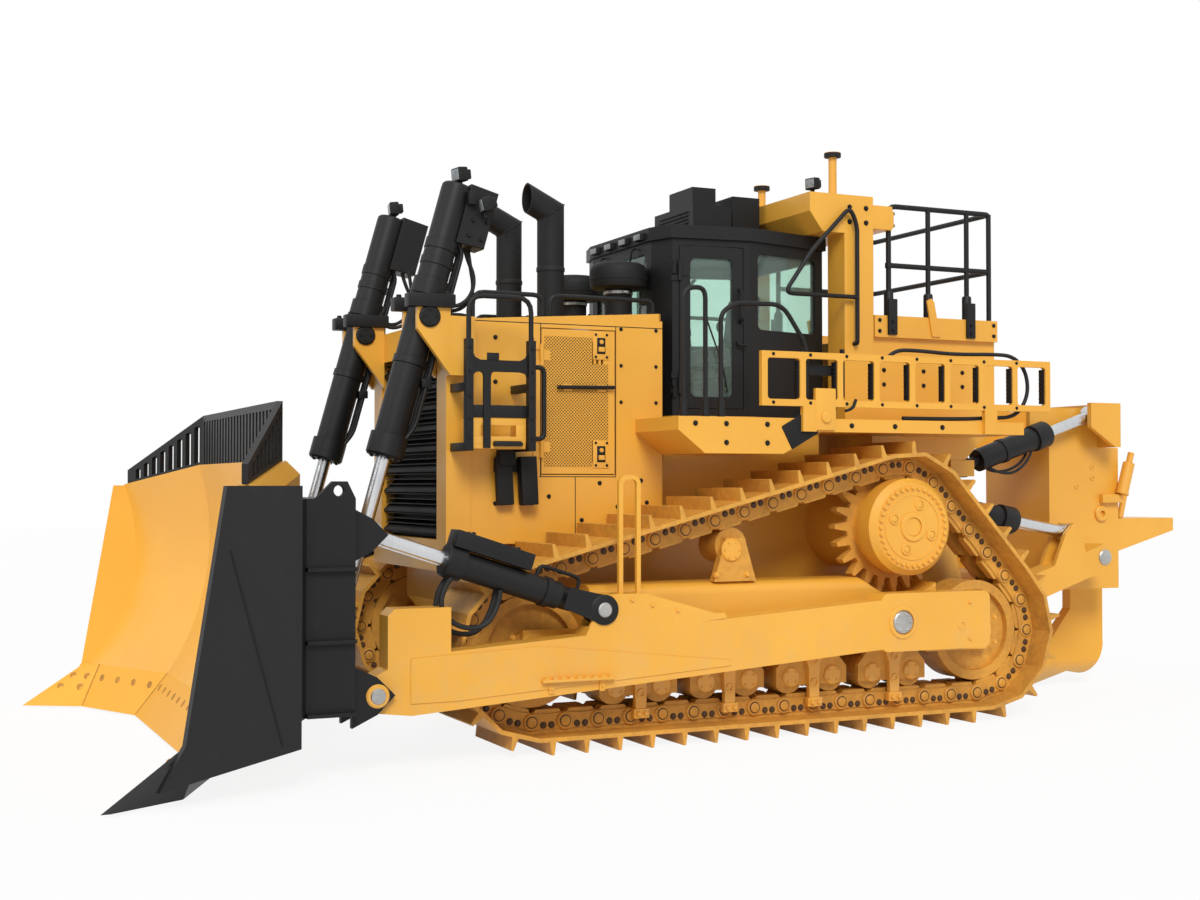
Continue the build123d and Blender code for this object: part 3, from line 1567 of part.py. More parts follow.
# Braces between the arms and the blade's upper back
brace_length = distance(brace_rear, brace_front)
with BuildPart() as brace_barrels:
    for side in (-1, 1):
        way = along(brace_rear, brace_front).z_dir
        centre = Vector(brace_rear[0], side * arm_y, brace_rear[1])
        with BuildSketch(Plane(origin=centre, x_dir=(0, 1, 0), z_dir=way)):
            Circle(neck_radius)
        extrude(amount=brace_neck)
        with BuildSketch(Plane(origin=centre, x_dir=(0, 1, 0), z_dir=way).offset(brace_neck)):
            Circle(brace_radius)
        extrude(amount=brace_barrel_length - brace_neck)
        with BuildSketch(at_y(side * arm_y)):
            with Locations(brace_rear):
                Circle(brace_eye_radius)
        extrude(amount=eye_width / 2, both=True)
        with BuildSketch(at_y(side * arm_y)):
            with Locations(brace_rear):
                Circle(brace_pin_radius + running_gap)
        extrude(amount=eye_width, both=True, mode=Mode.SUBTRACT)
        with BuildSketch(Plane(origin=centre, x_dir=(0, 1, 0), z_dir=way).offset(brace_rod_start - brace_bore_lead)):
            Circle(brace_rod_radius + running_gap)
        extrude(amount=brace_barrel_length, mode=Mode.SUBTRACT)
brace_barrels.part.label = "brace_barrels"
export_step(brace_barrels.part, "parts/brace_barrels.step")

with BuildPart() as brace_rods:
    for side in (-1, 1):
        way = along(brace_rear, brace_front).z_dir
        centre = Vector(brace_rear[0], side * arm_y, brace_rear[1])
        with BuildSketch(Plane(origin=centre, x_dir=(0, 1, 0), z_dir=way).offset(brace_rod_start)):
            Circle(brace_rod_radius)
        extrude(amount=brace_length - brace_rod_start)
        with BuildSketch(at_y(side * arm_y)):
            with Locations(brace_front):
                Circle(brace_rod_eye)
        extrude(amount=eye_width / 2, both=True)
brace_rods.part.label = "brace_rods"
export_step(brace_rods.part, "parts/brace_rods.step")

# Ripper: bracket, lower link, pins, carriage, shank and four cylinders
link_front = (station(link_front_ahead), link_front_height)
link_rear = (link_front[0] - link_run, link_front[1] + link_rise)
tilt_front = (station(tilt_front_ahead), tilt_front_height)
tilt_rear = (tilt_front[0] - link_run, tilt_front[1] + link_rise)
rip_front = (station(rip_lift_front_ahead), rip_lift_front_height)
rip_eye = (station(rip_lift_eye_ahead), rip_lift_eye_height)
with BuildPart() as ripper_bracket:
    for side in (-1, 1):
        with BuildSketch(at_y(side * (case_half_width + bracket_thickness / 2))):
            Polygon(
                (link_front[0] - ripper_eye_radius, link_front[1] - ripper_eye_radius),
                (station(case_rear + case_tail), link_front[1] - ripper_eye_radius),
                (rip_front[0] + bracket_nose, rip_front[1] - bracket_half),
                (rip_front[0] + bracket_nose, rip_front[1] + bracket_half),
                (station(case_rear) + bracket_top_ahead, tilt_front[1] + bracket_top_rise),
                (station(case_rear), rip_front[1] - bracket_waist),
                (link_front[0] - ripper_eye_radius, link_front[1] + ripper_eye_radius),
                align=None,
            )
        extrude(amount=bracket_thickness / 2, both=True)
        with BuildSketch(at_y(side * (case_half_width + bracket_thickness))):
            with Locations(link_front):
                Circle(ripper_pin_radius)
            with Locations(rip_front):
                Circle(ripper_pin_radius)
        extrude(amount=side * -(link_half_spacing + link_plate / 2 - case_half_width - bracket_thickness))
        for face in (-1, 1):
            with BuildSketch(at_y(side * (tilt_half_spacing + face * eye_ear_offset))):
                Polygon(
                    (station(case_rear), tilt_front[1] - tilt_ear_drop),
                    (tilt_front[0] - ripper_eye_radius / 2, tilt_front[1] - tilt_nose_drop),
                    (tilt_front[0] - ripper_eye_radius / 2, tilt_front[1] + tilt_ear_rise),
                    (station(case_rear), tilt_front[1] + tilt_ear_rise),
                    align=None,
                )
            extrude(amount=ear_thickness / 2, both=True)
        with BuildSketch(at_y(side * tilt_half_spacing)):
            with Locations(tilt_front):
                Circle(tilt_pin_radius)
        extrude(amount=eye_ear_offset, both=True)
        with Locations((station(case_rear), side * tilt_half_spacing, tilt_front[1] - tilt_ear_drop)):
            Box(
                plate_back,
                2 * eye_ear_offset + ear_thickness,
                tilt_ear_drop + tilt_ear_rise,
                align=(Align.MAX, Align.CENTER, Align.MIN),
            )
ripper_bracket.part.label = "ripper_bracket"
export_step(ripper_bracket.part, "parts/ripper_bracket.step")

with BuildPart() as ripper_link:
    for side in (-1, 1):
        with BuildSketch(at_y(side * link_half_spacing)):
            Polygon(
                (link_front[0], link_front[1] - ripper_eye_radius),
                (link_front[0], link_front[1] + ripper_eye_radius),
                (link_rear[0], link_rear[1] + ripper_eye_radius),
                (link_rear[0], link_rear[1] - ripper_eye_radius),
                align=None,
            )
            with Locations(link_front, link_rear):
                Circle(ripper_eye_radius)
            with Locations(link_front, link_rear):
                Circle(ripper_pin_radius + running_gap, mode=Mode.SUBTRACT)
        extrude(amount=link_plate / 2, both=True)
        for face in (-1, 1):
            with BuildSketch(at_y(side * (link_half_spacing + face * (link_plate - link_ear) / 2))):
                Polygon(
                    (rip_eye[0] - link_ear_rear, link_rear[1] - link_ear_low),
                    (rip_eye[0] + link_ear_front, link_rear[1] - link_ear_toe),
                    (rip_eye[0] + link_ear_radius, rip_eye[1]),
                    (rip_eye[0], rip_eye[1] + link_ear_radius),
                    (rip_eye[0] - link_ear_radius, rip_eye[1]),
                    align=None,
                )
            extrude(amount=link_ear / 2, both=True)
    with BuildSketch(Plane(origin=(link_front[0] - link_run / 2, 0, link_front[1] + link_rise / 2), z_dir=(0, 1, 0))):
        Circle(link_tube_radius)
    extrude(amount=link_half_spacing - link_plate / 2, both=True)
ripper_link.part.label = "ripper_link"
export_step(ripper_link.part, "parts/ripper_link.step")

with BuildPart() as ripper_pins:
    with BuildSketch(at_y(carriage_boss)):
        with Locations(link_rear):
            Circle(ripper_pin_radius)
    extrude(amount=-(link_half_spacing + link_plate / 2 - carriage_boss))
    with BuildSketch(at_y(carriage_boss - pin_depth / 2)):
        with Locations(link_rear):
            Circle(ripper_pin_radius)
    extrude(amount=pin_depth / 2, both=True)
    mirror(about=Plane.XZ)
ripper_pins.part.label = "ripper_pins"
export_step(ripper_pins.part, "parts/ripper_pins.step")

with BuildPart() as ripper_carriage:
    with BuildSketch(at_y(0)):
        Polygon(
            (station(carriage_front), carriage_bottom),
            (station(carriage_front), carriage_top),
            (station(carriage_rear), carriage_top),
            (station(carriage_rear), carriage_bottom),
            align=None,
        )
    extrude(amount=carriage_half_width, both=True)
    with BuildSketch(at_y(0)):
        with Locations(link_rear):
            Circle(ripper_eye_radius)
    extrude(amount=carriage_boss, both=True)
    for side in (-1, 1):
        with BuildSketch(at_y(side * (carriage_half_width - ear_thickness / 2))):
            Polygon(
                (tilt_rear[0] + carriage_ear_front, carriage_top),
                (tilt_rear[0] + carriage_ear_front, carriage_top + carriage_ear_height),
                (tilt_rear[0] - carriage_ear_rear, carriage_top + carriage_ear_height),
                (tilt_rear[0] - carriage_ear_rear, carriage_top),
                align=None,
            )
        extrude(amount=ear_thickness / 2, both=True)
        with BuildSketch(at_y(side * (tilt_half_spacing + eye_ear_offset))):
            Polygon(
                (tilt_rear[0] + carriage_ear_half, tilt_rear[1] - carriage_ear_half),
                (tilt_rear[0] + carriage_ear_half, tilt_rear[1] + carriage_ear_half),
                (tilt_rear[0] - carriage_ear_rear, tilt_rear[1] + carriage_ear_half),
                (tilt_rear[0] - carriage_ear_rear, carriage_top),
                align=None,
            )
        extrude(amount=ear_thickness / 2, both=True)
    with Locations((tilt_rear[0] - carriage_ear_rear, 0, carriage_top)):
        Box(
            plate_back,
            2 * (tilt_half_spacing + eye_ear_offset + ear_thickness / 2),
            tilt_rear[1] + carriage_ear_half - carriage_top,
            align=(Align.MAX, Align.CENTER, Align.MIN),
        )
    with BuildSketch(at_y(0)):
        Polygon(
            (station(carriage_rear), push_block_top - push_block_root),
            (station(carriage_rear), push_block_top),
            (station(-tail_reach), push_block_top),
            (station(-tail_reach), push_block_top - push_block_tip),
            align=None,
        )
    extrude(amount=push_block_half, both=True)
    with Locations((station(shank_front) - shank_depth / 2, 0, carriage_bottom)):
        Box(
            shank_depth + 2 * running_gap,
            shank_width + 2 * running_gap,
            carriage_top - carriage_bottom,
            align=(Align.CENTER, Align.CENTER, Align.MIN),
            mode=Mode.SUBTRACT,
        )
    with BuildSketch(at_y(0)):
        with Locations(link_rear):
            Circle(ripper_pin_radius + running_gap)
    extrude(amount=carriage_boss + pin_depth, both=True, mode=Mode.SUBTRACT)
ripper_carriage.part.label = "ripper_carriage"
export_step(ripper_carriage.part, "parts/ripper_carriage.step")

shank_back = station(shank_front) - shank_depth
with BuildPart() as ripper_shank:
    with BuildSketch(at_y(0)):
        with BuildLine():
            Polyline(
                (station(shank_front), carriage_bottom - shank_curve / 2),
                (station(shank_front), shank_top),
                (shank_back, shank_top),
                (shank_back, shank_curve),
            )
            ThreePointArc(
                (shank_back, shank_curve),
                (shank_back + shank_curve * 0.3, shank_curve * 0.36),
                (station(shank_tip_ahead) - shank_curve, shank_tip_height + shank_nose),
            )
            Polyline(
                (station(shank_tip_ahead) - shank_curve, shank_tip_height + shank_nose),
                (station(shank_tip_ahead), shank_tip_height),
                (station(shank_tip_ahead) - shank_nose, shank_tip_height + 2.6 * shank_nose),
                (station(shank_front), carriage_bottom - shank_curve / 2),
            )
        make_face()
    extrude(amount=shank_width / 2, both=True)
ripper_shank.part.label = "ripper_shank"
export_step(ripper_shank.part, "parts/ripper_shank.step")


def cylinder_plane(start, end, side_y):
    """Plane at a cylinder's fixed pin, facing along its rod."""
    way = along(start, end).z_dir
    return Plane(origin=(start[0], side_y, start[1]), x_dir=(0, 1, 0), z_dir=way)


ripper_pairs = (
    ("ripper_lift", rip_front, rip_eye, link_half_spacing, rip_eye_width, rip_barrel_length, rip_rod_start,
     ripper_pin_radius),
    ("ripper_tilt", tilt_front, tilt_rear, tilt_half_spacing, eye_width, tilt_barrel_length, tilt_rod_start,
     tilt_pin_radius),
)
for name, fixed, eye, half_spacing, width, barrel_length, rod_start, pin_radius in ripper_pairs:
    with BuildPart() as ripper_barrels:
        for side in (-1, 1):
            plane = cylinder_plane(fixed, eye, side * half_spacing)
            with BuildSketch(plane.offset(barrel_neck - barrel_end)):
                Circle(rip_barrel_radius)
            extrude(amount=barrel_length - barrel_neck + barrel_end)
            with BuildSketch(plane):
                Circle(neck_radius)
            extrude(amount=barrel_neck)
            with BuildSketch(at_y(side * half_spacing)):
                with Locations(fixed):
                    Circle(pin_radius + barrel_eye_wall)
            extrude(amount=width / 2, both=True)
            with BuildSketch(at_y(side * half_spacing)):
                with Locations(fixed):
                    Circle(pin_radius + running_gap)
            extrude(amount=width, both=True, mode=Mode.SUBTRACT)
            with BuildSketch(plane.offset(barrel_neck)):
                Circle(rip_rod_radius + running_gap)
            extrude(amount=barrel_length, mode=Mode.SUBTRACT)
    ripper_barrels.part.label = f"{name}_barrels"
    export_step(ripper_barrels.part, f"parts/{name}_barrels.step")
    with BuildPart() as ripper_rods:
        for side in (-1, 1):
            with BuildSketch(cylinder_plane(fixed, eye, side * half_spacing).offset(rod_start)):
                Circle(rip_rod_radius)
            extrude(amount=distance(fixed, eye) - rod_start)
            with BuildSketch(at_y(side * half_spacing)):
                with Locations(eye):
                    Circle(rod_eye_radius)
            extrude(amount=width / 2, both=True)
    ripper_rods.part.label = f"{name}_rods"
    export_step(ripper_rods.part, f"parts/{name}_rods.step")

# Front steps on the left, lamps, roof boxes and breather posts
with BuildPart() as front_steps:
    for ahead, root in ((steps_rear, body_half_width), (steps_front, guard_half_width)):
        for level in (steps_bottom, steps_arm):
            with Locations((station(ahead), root, level)):
                Box(
                    step_bar,
                    body_half_width + steps_reach - root,
                    step_bar,
                    align=(Align.CENTER, Align.MIN, Align.MIN),
                )
        with Locations((station(ahead), body_half_width + steps_reach, steps_bottom)):
            Box(step_bar, step_bar, steps_top - steps_bottom, align=(Align.CENTER, Align.CENTER, Align.MIN))
    for i in range(step_count):
        level = steps_bottom + i * (steps_top - steps_bottom) / step_count
        with Locations((station((steps_rear + steps_front) / 2), body_half_width + steps_reach, level)):
            Box(steps_front - steps_rear, step_bar, step_depth, align=(Align.CENTER, Align.CENTER, Align.MIN))
    with Locations((station((steps_rear + steps_front) / 2), body_half_width + steps_reach, steps_top)):
        Box(
            steps_front - steps_rear + step_bar,
            step_bar,
            step_depth,
            align=(Align.CENTER, Align.CENTER, Align.MAX),
        )
front_steps.part.label = "front_steps"
export_step(front_steps.part, "parts/front_steps.step")

with BuildPart() as work_lamps:
    for side in (-1, 1):
        with Locations((station(rops_front - rops_chin), side * (rops_half_width - lamp_inset), rops_top)):
            Box(lamp_depth, lamp_width, lamp_height, align=(Align.CENTER, Align.CENTER, Align.MIN))
work_lamps.part.label = "work_lamps"
export_step(work_lamps.part, "parts/work_lamps.step")

with BuildPart() as roof_boxes:
    with Locations((station(roof_box_ahead), 0, cab_roof_top)):
        Box(*roof_box_size, align=(Align.CENTER, Align.CENTER, Align.MIN))
    with Locations((station(roof_box_ahead), 0, cab_roof_top + roof_box_size[2])):
        Box(*roof_top_size, align=(Align.CENTER, Align.CENTER, Align.MIN))
    with Locations((station(roof_rear_ahead), 0, cab_roof_top)):
        Box(*roof_rear_size, align=(Align.CENTER, Align.CENTER, Align.MIN))
roof_boxes.part.label = "roof_boxes"
export_step(roof_boxes.part, "parts/roof_boxes.step")

with BuildPart() as breather_posts:
    for ahead, y, top in breathers:
        with BuildSketch(Plane.XY.offset(rops_top)):
            with Locations((station(ahead), y)):
                Circle(breather_radius)
        extrude(amount=top - rops_top)
        with BuildSketch(Plane.XY.offset(top - breather_cap_height)):
            with Locations((station(ahead), y)):
                Circle(breather_cap)
        extrude(amount=breather_cap_height)
breather_posts.part.label = "breather_posts"
export_step(breather_posts.part, "parts/breather_posts.step")


# Grab rails: bent tube along the hood, on the fenders and beside the cab
def bent_rail(points):
    """Round tube through a list of places, with ball corners."""
    with BuildPart(mode=Mode.PRIVATE) as rail:
        for start, end in zip(points, points[1:]):
            run = Vector(*end) - Vector(*start)
            with BuildSketch(Plane(origin=start, z_dir=run)):
                Circle(grab_radius)
            extrude(amount=run.length)
        for corner in points[1:-1]:
            with Locations(corner):
                Sphere(grab_radius)
    return rail.part


def side_rail(y, places, foot):
    """Rail in an upright plane at Y through stations and heights, its ends dropped to a foot height."""
    upper = [(station(ahead), y, height) for ahead, height in places]
    return bent_rail([(upper[0][0], y, foot), *upper, (upper[-1][0], y, foot)])


hood_foot = hood_front_top - hood_thickness
with BuildPart() as grab_rails:
    for front, rear in (hood_rail_front, hood_rail_rear):
        add(side_rail(hood_rail_half, ((front, hood_rail_top), (rear, hood_rail_top)), hood_foot))
    split(bisect_by=hood_plane, keep=Keep.TOP)
    add(side_rail(fender_rail_half, fender_rail_front, fender_top))
    add(side_rail(fender_rail_half, fender_rail_rear, fender_top))
    loop = [(station(ahead), cab_rail_half, height) for ahead, height in cab_rail_loop]
    foot = [
        (loop[0][0], rops_half_width, cab_rail_low),
        (loop[0][0], cab_rail_half, cab_rail_low),
    ]
    add(bent_rail([*foot, *loop, (loop[0][0], cab_rail_half, cab_rail_mid)]))
    mirror(about=Plane.XZ)
grab_rails.part.label = "grab_rails"
export_step(grab_rails.part, "parts/grab_rails.step")
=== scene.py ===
import bpy
import bmesh
import json
import math
from mathutils import Vector, Matrix


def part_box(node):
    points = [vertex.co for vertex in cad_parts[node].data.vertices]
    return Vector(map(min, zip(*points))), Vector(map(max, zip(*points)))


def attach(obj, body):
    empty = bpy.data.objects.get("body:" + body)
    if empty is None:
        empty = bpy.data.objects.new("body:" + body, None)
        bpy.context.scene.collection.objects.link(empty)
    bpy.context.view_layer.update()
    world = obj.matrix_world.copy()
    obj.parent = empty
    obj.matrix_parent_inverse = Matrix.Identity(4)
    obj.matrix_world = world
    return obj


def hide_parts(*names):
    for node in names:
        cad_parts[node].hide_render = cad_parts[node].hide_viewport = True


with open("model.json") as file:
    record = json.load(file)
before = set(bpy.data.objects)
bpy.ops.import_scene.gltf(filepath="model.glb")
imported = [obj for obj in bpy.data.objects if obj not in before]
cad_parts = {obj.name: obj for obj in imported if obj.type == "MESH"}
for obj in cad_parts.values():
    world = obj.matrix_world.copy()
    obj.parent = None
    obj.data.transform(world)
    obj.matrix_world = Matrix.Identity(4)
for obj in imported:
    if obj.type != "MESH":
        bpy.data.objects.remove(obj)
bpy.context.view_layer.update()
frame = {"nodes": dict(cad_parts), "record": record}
nodes = frame["nodes"]
scene = bpy.context.scene
print("frame loaded:", len(nodes), "nodes")


def st(ahead):  # x of a place measured ahead of the rear idler axle
    return ahead - 1.85


# shader maths as expressions

def plug(tree, slot, item):
    if isinstance(item, Val):
        tree.links.new(item.socket, slot)
    else:
        slot.default_value = item


class Val:
    def __init__(self, tree, socket):
        self.tree = tree
        self.socket = socket

    def math(self, operation, other, swapped=False):
        node = self.tree.nodes.new("ShaderNodeMath")
        node.operation = operation
        for slot, item in zip(node.inputs, (other, self) if swapped else (self, other)):
            plug(self.tree, slot, item)
        return Val(self.tree, node.outputs[0])

    def __add__(self, other):
        return self.math("ADD", other)

    def __sub__(self, other):
        return self.math("SUBTRACT", other)

    def __rsub__(self, other):
        return self.math("SUBTRACT", other, True)

    def __mul__(self, other):
        return self.math("MULTIPLY", other)

    def __gt__(self, other):
        return self.math("GREATER_THAN", other)

    __radd__ = __add__
    __rmul__ = __mul__


class NodeTree:
    def __init__(self, tree):
        self.tree = tree

    def node(self, kind, settings=None, sockets=None, output=0):
        made = self.tree.nodes.new(kind)
        for key, value in (settings or {}).items():
            setattr(made, key, value)
        for key, value in (sockets or {}).items():
            plug(self.tree, made.inputs[key], value)
        return Val(self.tree, made.outputs[output])

    def seen(self):  # 1 for what the camera sees, straight, mirrored or through glass
        straight, mirrored, through = (
            self.node("ShaderNodeLightPath", output="Is %s Ray" % ray)
            for ray in ("Camera", "Glossy", "Transmission"))
        return straight + mirrored + through > 0.5


class Finish(NodeTree):
    def __init__(self, name, fixed):
        self.mat = bpy.data.materials.new(name)
        self.mat.use_nodes = True
        super().__init__(self.mat.node_tree)
        self.shader = self.tree.nodes["Principled BSDF"]
        for socket, value in fixed.items():
            self.shader.inputs[socket].default_value = value
        self.place = self.node("ShaderNodeTexCoord", output="Object")

    def noise(self, scale, detail=4, roughness=0.55, where=None):
        return self.node("ShaderNodeTexNoise", None, {
            "Vector": where or self.place, "Scale": scale, "Detail": detail, "Roughness": roughness})

    def ramp(self, value, low, high):  # 0 below low, 1 above high
        return self.node("ShaderNodeMapRange", {"clamp": True}, {
            "Value": value, "From Min": low, "From Max": high})

    def mix(self, factor, first, second):
        return self.node("ShaderNodeMix", {"data_type": "RGBA"}, {0: factor, 6: first, 7: second}, 2)

    def axis(self, name):
        return self.node("ShaderNodeSeparateXYZ", None, {0: self.place}, name)

    def stretch(self, factors):
        return self.node("ShaderNodeVectorMath", {"operation": "MULTIPLY"}, {0: self.place, 1: factors})

    def feed(self, socket, value):
        plug(self.tree, self.shader.inputs[socket], value)

    def bump(self, height, strength, distance):
        self.feed("Normal", self.node("ShaderNodeBump", None, {
            "Strength": strength, "Distance": distance, "Height": height}, "Normal"))


def rgb(red, green, blue):
    return (red, green, blue, 1.0)


# paint and other finishes
paintSpec = {
    "yellow": rgb(0.84, 0.425, 0.047), "yellowDeep": rgb(0.76, 0.365, 0.034), "dust": rgb(0.55, 0.40, 0.22),
    "black": rgb(0.0070, 0.0071, 0.0075), "blackWorn": rgb(0.022, 0.0215, 0.021),
    "trackLight": rgb(0.72, 0.355, 0.052), "trackDark": rgb(0.34, 0.165, 0.038),
    "orangePeel": 70.0, "cloud": 0.8,
}


def yellowPaint(name, dustTop=0.75, dustShare=0.30, deep=None, light=None, rough=0.40):
    f = Finish(name, {"Coat Roughness": 0.18, "Specular IOR Level": 0.45})
    cloud = f.noise(paintSpec["cloud"], 5)
    grain = f.noise(9.0, 6, 0.65)
    streak = f.noise(3.0, 5, 0.6, f.stretch((2.4, 2.4, 0.35)))
    base = f.mix(f.ramp(cloud, 0.32, 0.70), deep or paintSpec["yellowDeep"], light or paintSpec["yellow"])
    height = f.axis("Z")
    low = 1 - f.ramp(height, 0.05, dustTop)
    dirt = f.ramp(grain * 0.6 + streak * 0.6, 0.52, 0.86) * (low * dustShare + 0.05)
    f.feed("Base Color", f.mix(dirt, base, paintSpec["dust"]))
    f.feed("Roughness", rough + 0.10 * grain + 0.25 * dirt)
    f.feed("Coat Weight", 0.30 - 0.25 * dirt)
    f.bump(f.noise(paintSpec["orangePeel"], 2) + 0.35 * grain, 0.05, 0.004)
    return f.mat


def blackPaint(name, rough=0.42, worn=0.5):
    f = Finish(name, {"Specular IOR Level": 0.26})
    cloud = f.noise(1.6, 5)
    grain = f.noise(26.0, 5, 0.65)
    scuff = f.ramp(f.noise(5.0, 7, 0.72), 0.56, 0.74) * worn
    f.feed("Base Color", f.mix(scuff * 0.6 + 0.25 * cloud, paintSpec["black"], paintSpec["blackWorn"]))
    f.feed("Roughness", rough + 0.12 * grain + 0.12 * scuff)
    f.bump(f.noise(140.0, 2) + 0.4 * grain, 0.07, 0.003)
    return f.mat


def bladePaint(name, blackOutside, blackUnder):  # yellow inside, black on outer faces or undersides
    f = Finish(name, {"Specular IOR Level": 0.36})
    cloud = f.noise(1.6, 5)
    grain = f.noise(26.0, 5, 0.65)
    facing = f.node("ShaderNodeNewGeometry", None, None, "Normal")
    sideways = f.node("ShaderNodeSeparateXYZ", None, {0: facing}, "Y") * f.axis("Y")
    upward = f.node("ShaderNodeSeparateXYZ", None, {0: facing}, "Z")
    dark = f.ramp(sideways, *blackOutside)
    under = (1 - f.ramp(upward, -0.15, -0.02)) * blackUnder
    dark = dark + under - dark * under
    paint = f.mix(cloud, paintSpec["yellow"], paintSpec["yellowDeep"])
    scuff = f.ramp(f.noise(5.0, 7, 0.72), 0.56, 0.74)
    soot = f.mix(scuff * 0.3 + 0.25 * cloud, paintSpec["black"], paintSpec["blackWorn"])
    f.feed("Base Color", f.mix(dark, paint, soot))
    f.feed("Roughness", 0.42 + 0.12 * grain)
    f.bump(f.noise(140.0, 2) + 0.4 * grain, 0.06, 0.003)
    return f.mat


def trackPaint(name, light=None, dark=None):
    f = Finish(name, {"Specular IOR Level": 0.4})
    cloud = f.noise(2.2, 6, 0.6)
    grain = f.noise(17.0, 7, 0.7)
    rust = f.ramp(cloud * 0.55 + grain * 0.5, 0.44, 0.72)
    f.feed("Base Color", f.mix(rust * 0.75, light or paintSpec["trackLight"], dark or paintSpec["trackDark"]))
    f.feed("Roughness", 0.44 + 0.22 * grain)
    f.bump(grain + 0.5 * f.noise(60.0, 3), 0.16, 0.006)
    return f.mat


def bareSteel(name, colour, darker, rough, brushed=(1.0, 1.0, 1.0)):
    f = Finish(name, {"Metallic": 1.0})
    lines = f.noise(40.0, 5, 0.6, f.stretch(brushed))
    cloud = f.noise(3.0, 4)
    f.feed("Base Color", f.mix(f.ramp(cloud + 0.4 * lines, 0.45, 0.95), colour, darker))
    f.feed("Roughness", rough + 0.14 * lines)
    f.bump(lines, 0.04, 0.001)
    return f.mat


def tintedGlass(name):
    f = Finish(name, {"Transmission Weight": 0.92, "IOR": 1.3, "Specular IOR Level": 0.6})
    smear = f.ramp(f.noise(2.5, 6, 0.65), 0.5, 0.85)
    f.feed("Base Color", f.mix(smear * 0.25, rgb(0.70, 0.90, 0.81), rgb(0.74, 0.88, 0.82)))
    f.feed("Roughness", 0.015 + 0.06 * smear)
    return f.mat


def rubber(name, rings=0.0):
    f = Finish(name, {"Specular IOR Level": 0.35})
    grain = f.noise(90.0, 4)
    chalk = f.ramp(f.noise(4.0, 5, 0.6), 0.5, 0.8)
    f.feed("Base Color", f.mix(chalk * 0.35, rgb(0.011, 0.011, 0.011), rgb(0.045, 0.043, 0.040)))
    f.feed("Roughness", 0.55 + 0.2 * grain)
    f.bump(grain, 0.2 + rings, 0.002)
    return f.mat


def cabTrim(name):
    f = Finish(name, {"Specular IOR Level": 0.3})
    pebble = f.node("ShaderNodeTexVoronoi", None, {"Vector": f.place, "Scale": 190.0}, "Distance")
    shade = f.noise(3.0, 4)
    f.feed("Base Color", f.mix(shade, rgb(0.030, 0.031, 0.033), rgb(0.055, 0.055, 0.056)))
    f.feed("Roughness", 0.62 + 0.15 * pebble)
    f.bump(pebble, 0.25, 0.001)
    return f.mat


def seatCloth(name):
    f = Finish(name, {"Sheen Weight": 0.25, "Sheen Roughness": 0.5})
    warp = f.node("ShaderNodeTexWave", {"wave_type": "BANDS", "bands_direction": "Y"}, {
        "Vector": f.place, "Scale": 130.0, "Distortion": 0.6}, "Fac")
    weft = f.node("ShaderNodeTexWave", {"wave_type": "BANDS", "bands_direction": "X"}, {
        "Vector": f.place, "Scale": 130.0, "Distortion": 0.6}, "Fac")
    fuzz = f.noise(60.0, 5)
    weave = warp * weft * 0.7 + fuzz * 0.3
    f.feed("Base Color", f.mix(weave, rgb(0.016, 0.017, 0.019), rgb(0.060, 0.061, 0.064)))
    f.feed("Roughness", 0.82 + 0.1 * fuzz)
    f.bump(warp * 0.5 + weft * 0.5 + 0.3 * fuzz, 0.3, 0.0015)
    return f.mat


def perforated(name):
    f = Finish(name, {"Specular IOR Level": 0.4})
    x, z = f.axis("X"), f.axis("Z")
    flat = f.node("ShaderNodeCombineXYZ", None, {0: (x + z) * 0.7071, 1: (x - z) * 0.7071, 2: 0.0})
    cell = f.node("ShaderNodeTexVoronoi", {"voronoi_dimensions": "2D"}, {
        "Vector": flat, "Scale": 56.0, "Randomness": 0.0}, "Distance")
    # dark brown in the holes: painted shade inside the perforations
    holeShade = 1 - f.ramp(cell, 0.33, 0.40)
    cloud = f.noise(1.5, 4)
    skin = f.mix(cloud, paintSpec["yellowDeep"], paintSpec["yellow"])
    f.feed("Base Color", f.mix(holeShade, skin, rgb(0.10, 0.055, 0.014)))
    f.feed("Roughness", 0.42 + 0.35 * holeShade)
    f.bump(1 - holeShade, 0.5, 0.002)
    return f.mat


def lampLens(name):
    f = Finish(name, {"Specular IOR Level": 0.35})
    cell = f.node("ShaderNodeTexVoronoi", None, {"Vector": f.place, "Scale": 60.0}, "Distance")
    f.feed("Base Color", f.mix(cell, rgb(0.34, 0.36, 0.37), rgb(0.15, 0.16, 0.17)))
    f.feed("Roughness", 0.22 + 0.1 * cell)
    f.bump(cell, 0.3, 0.003)
    return f.mat


def shankSteel(name):  # painted above, rubbed bright towards the tip
    f = Finish(name, {"Specular IOR Level": 0.45})
    grain = f.noise(14.0, 6, 0.7)
    tip = 1 - f.ramp(f.axis("Z") + 0.12 * grain, 0.16, 0.30)
    paint = f.mix(f.noise(1.0, 5), paintSpec["yellowDeep"], paintSpec["yellow"])
    f.feed("Base Color", f.mix(tip * 0.55, paint, rgb(0.34, 0.28, 0.20)))
    f.feed("Metallic", tip * 0.35)
    f.feed("Roughness", 0.42 + 0.12 * grain)
    f.bump(grain, 0.08, 0.004)
    return f.mat


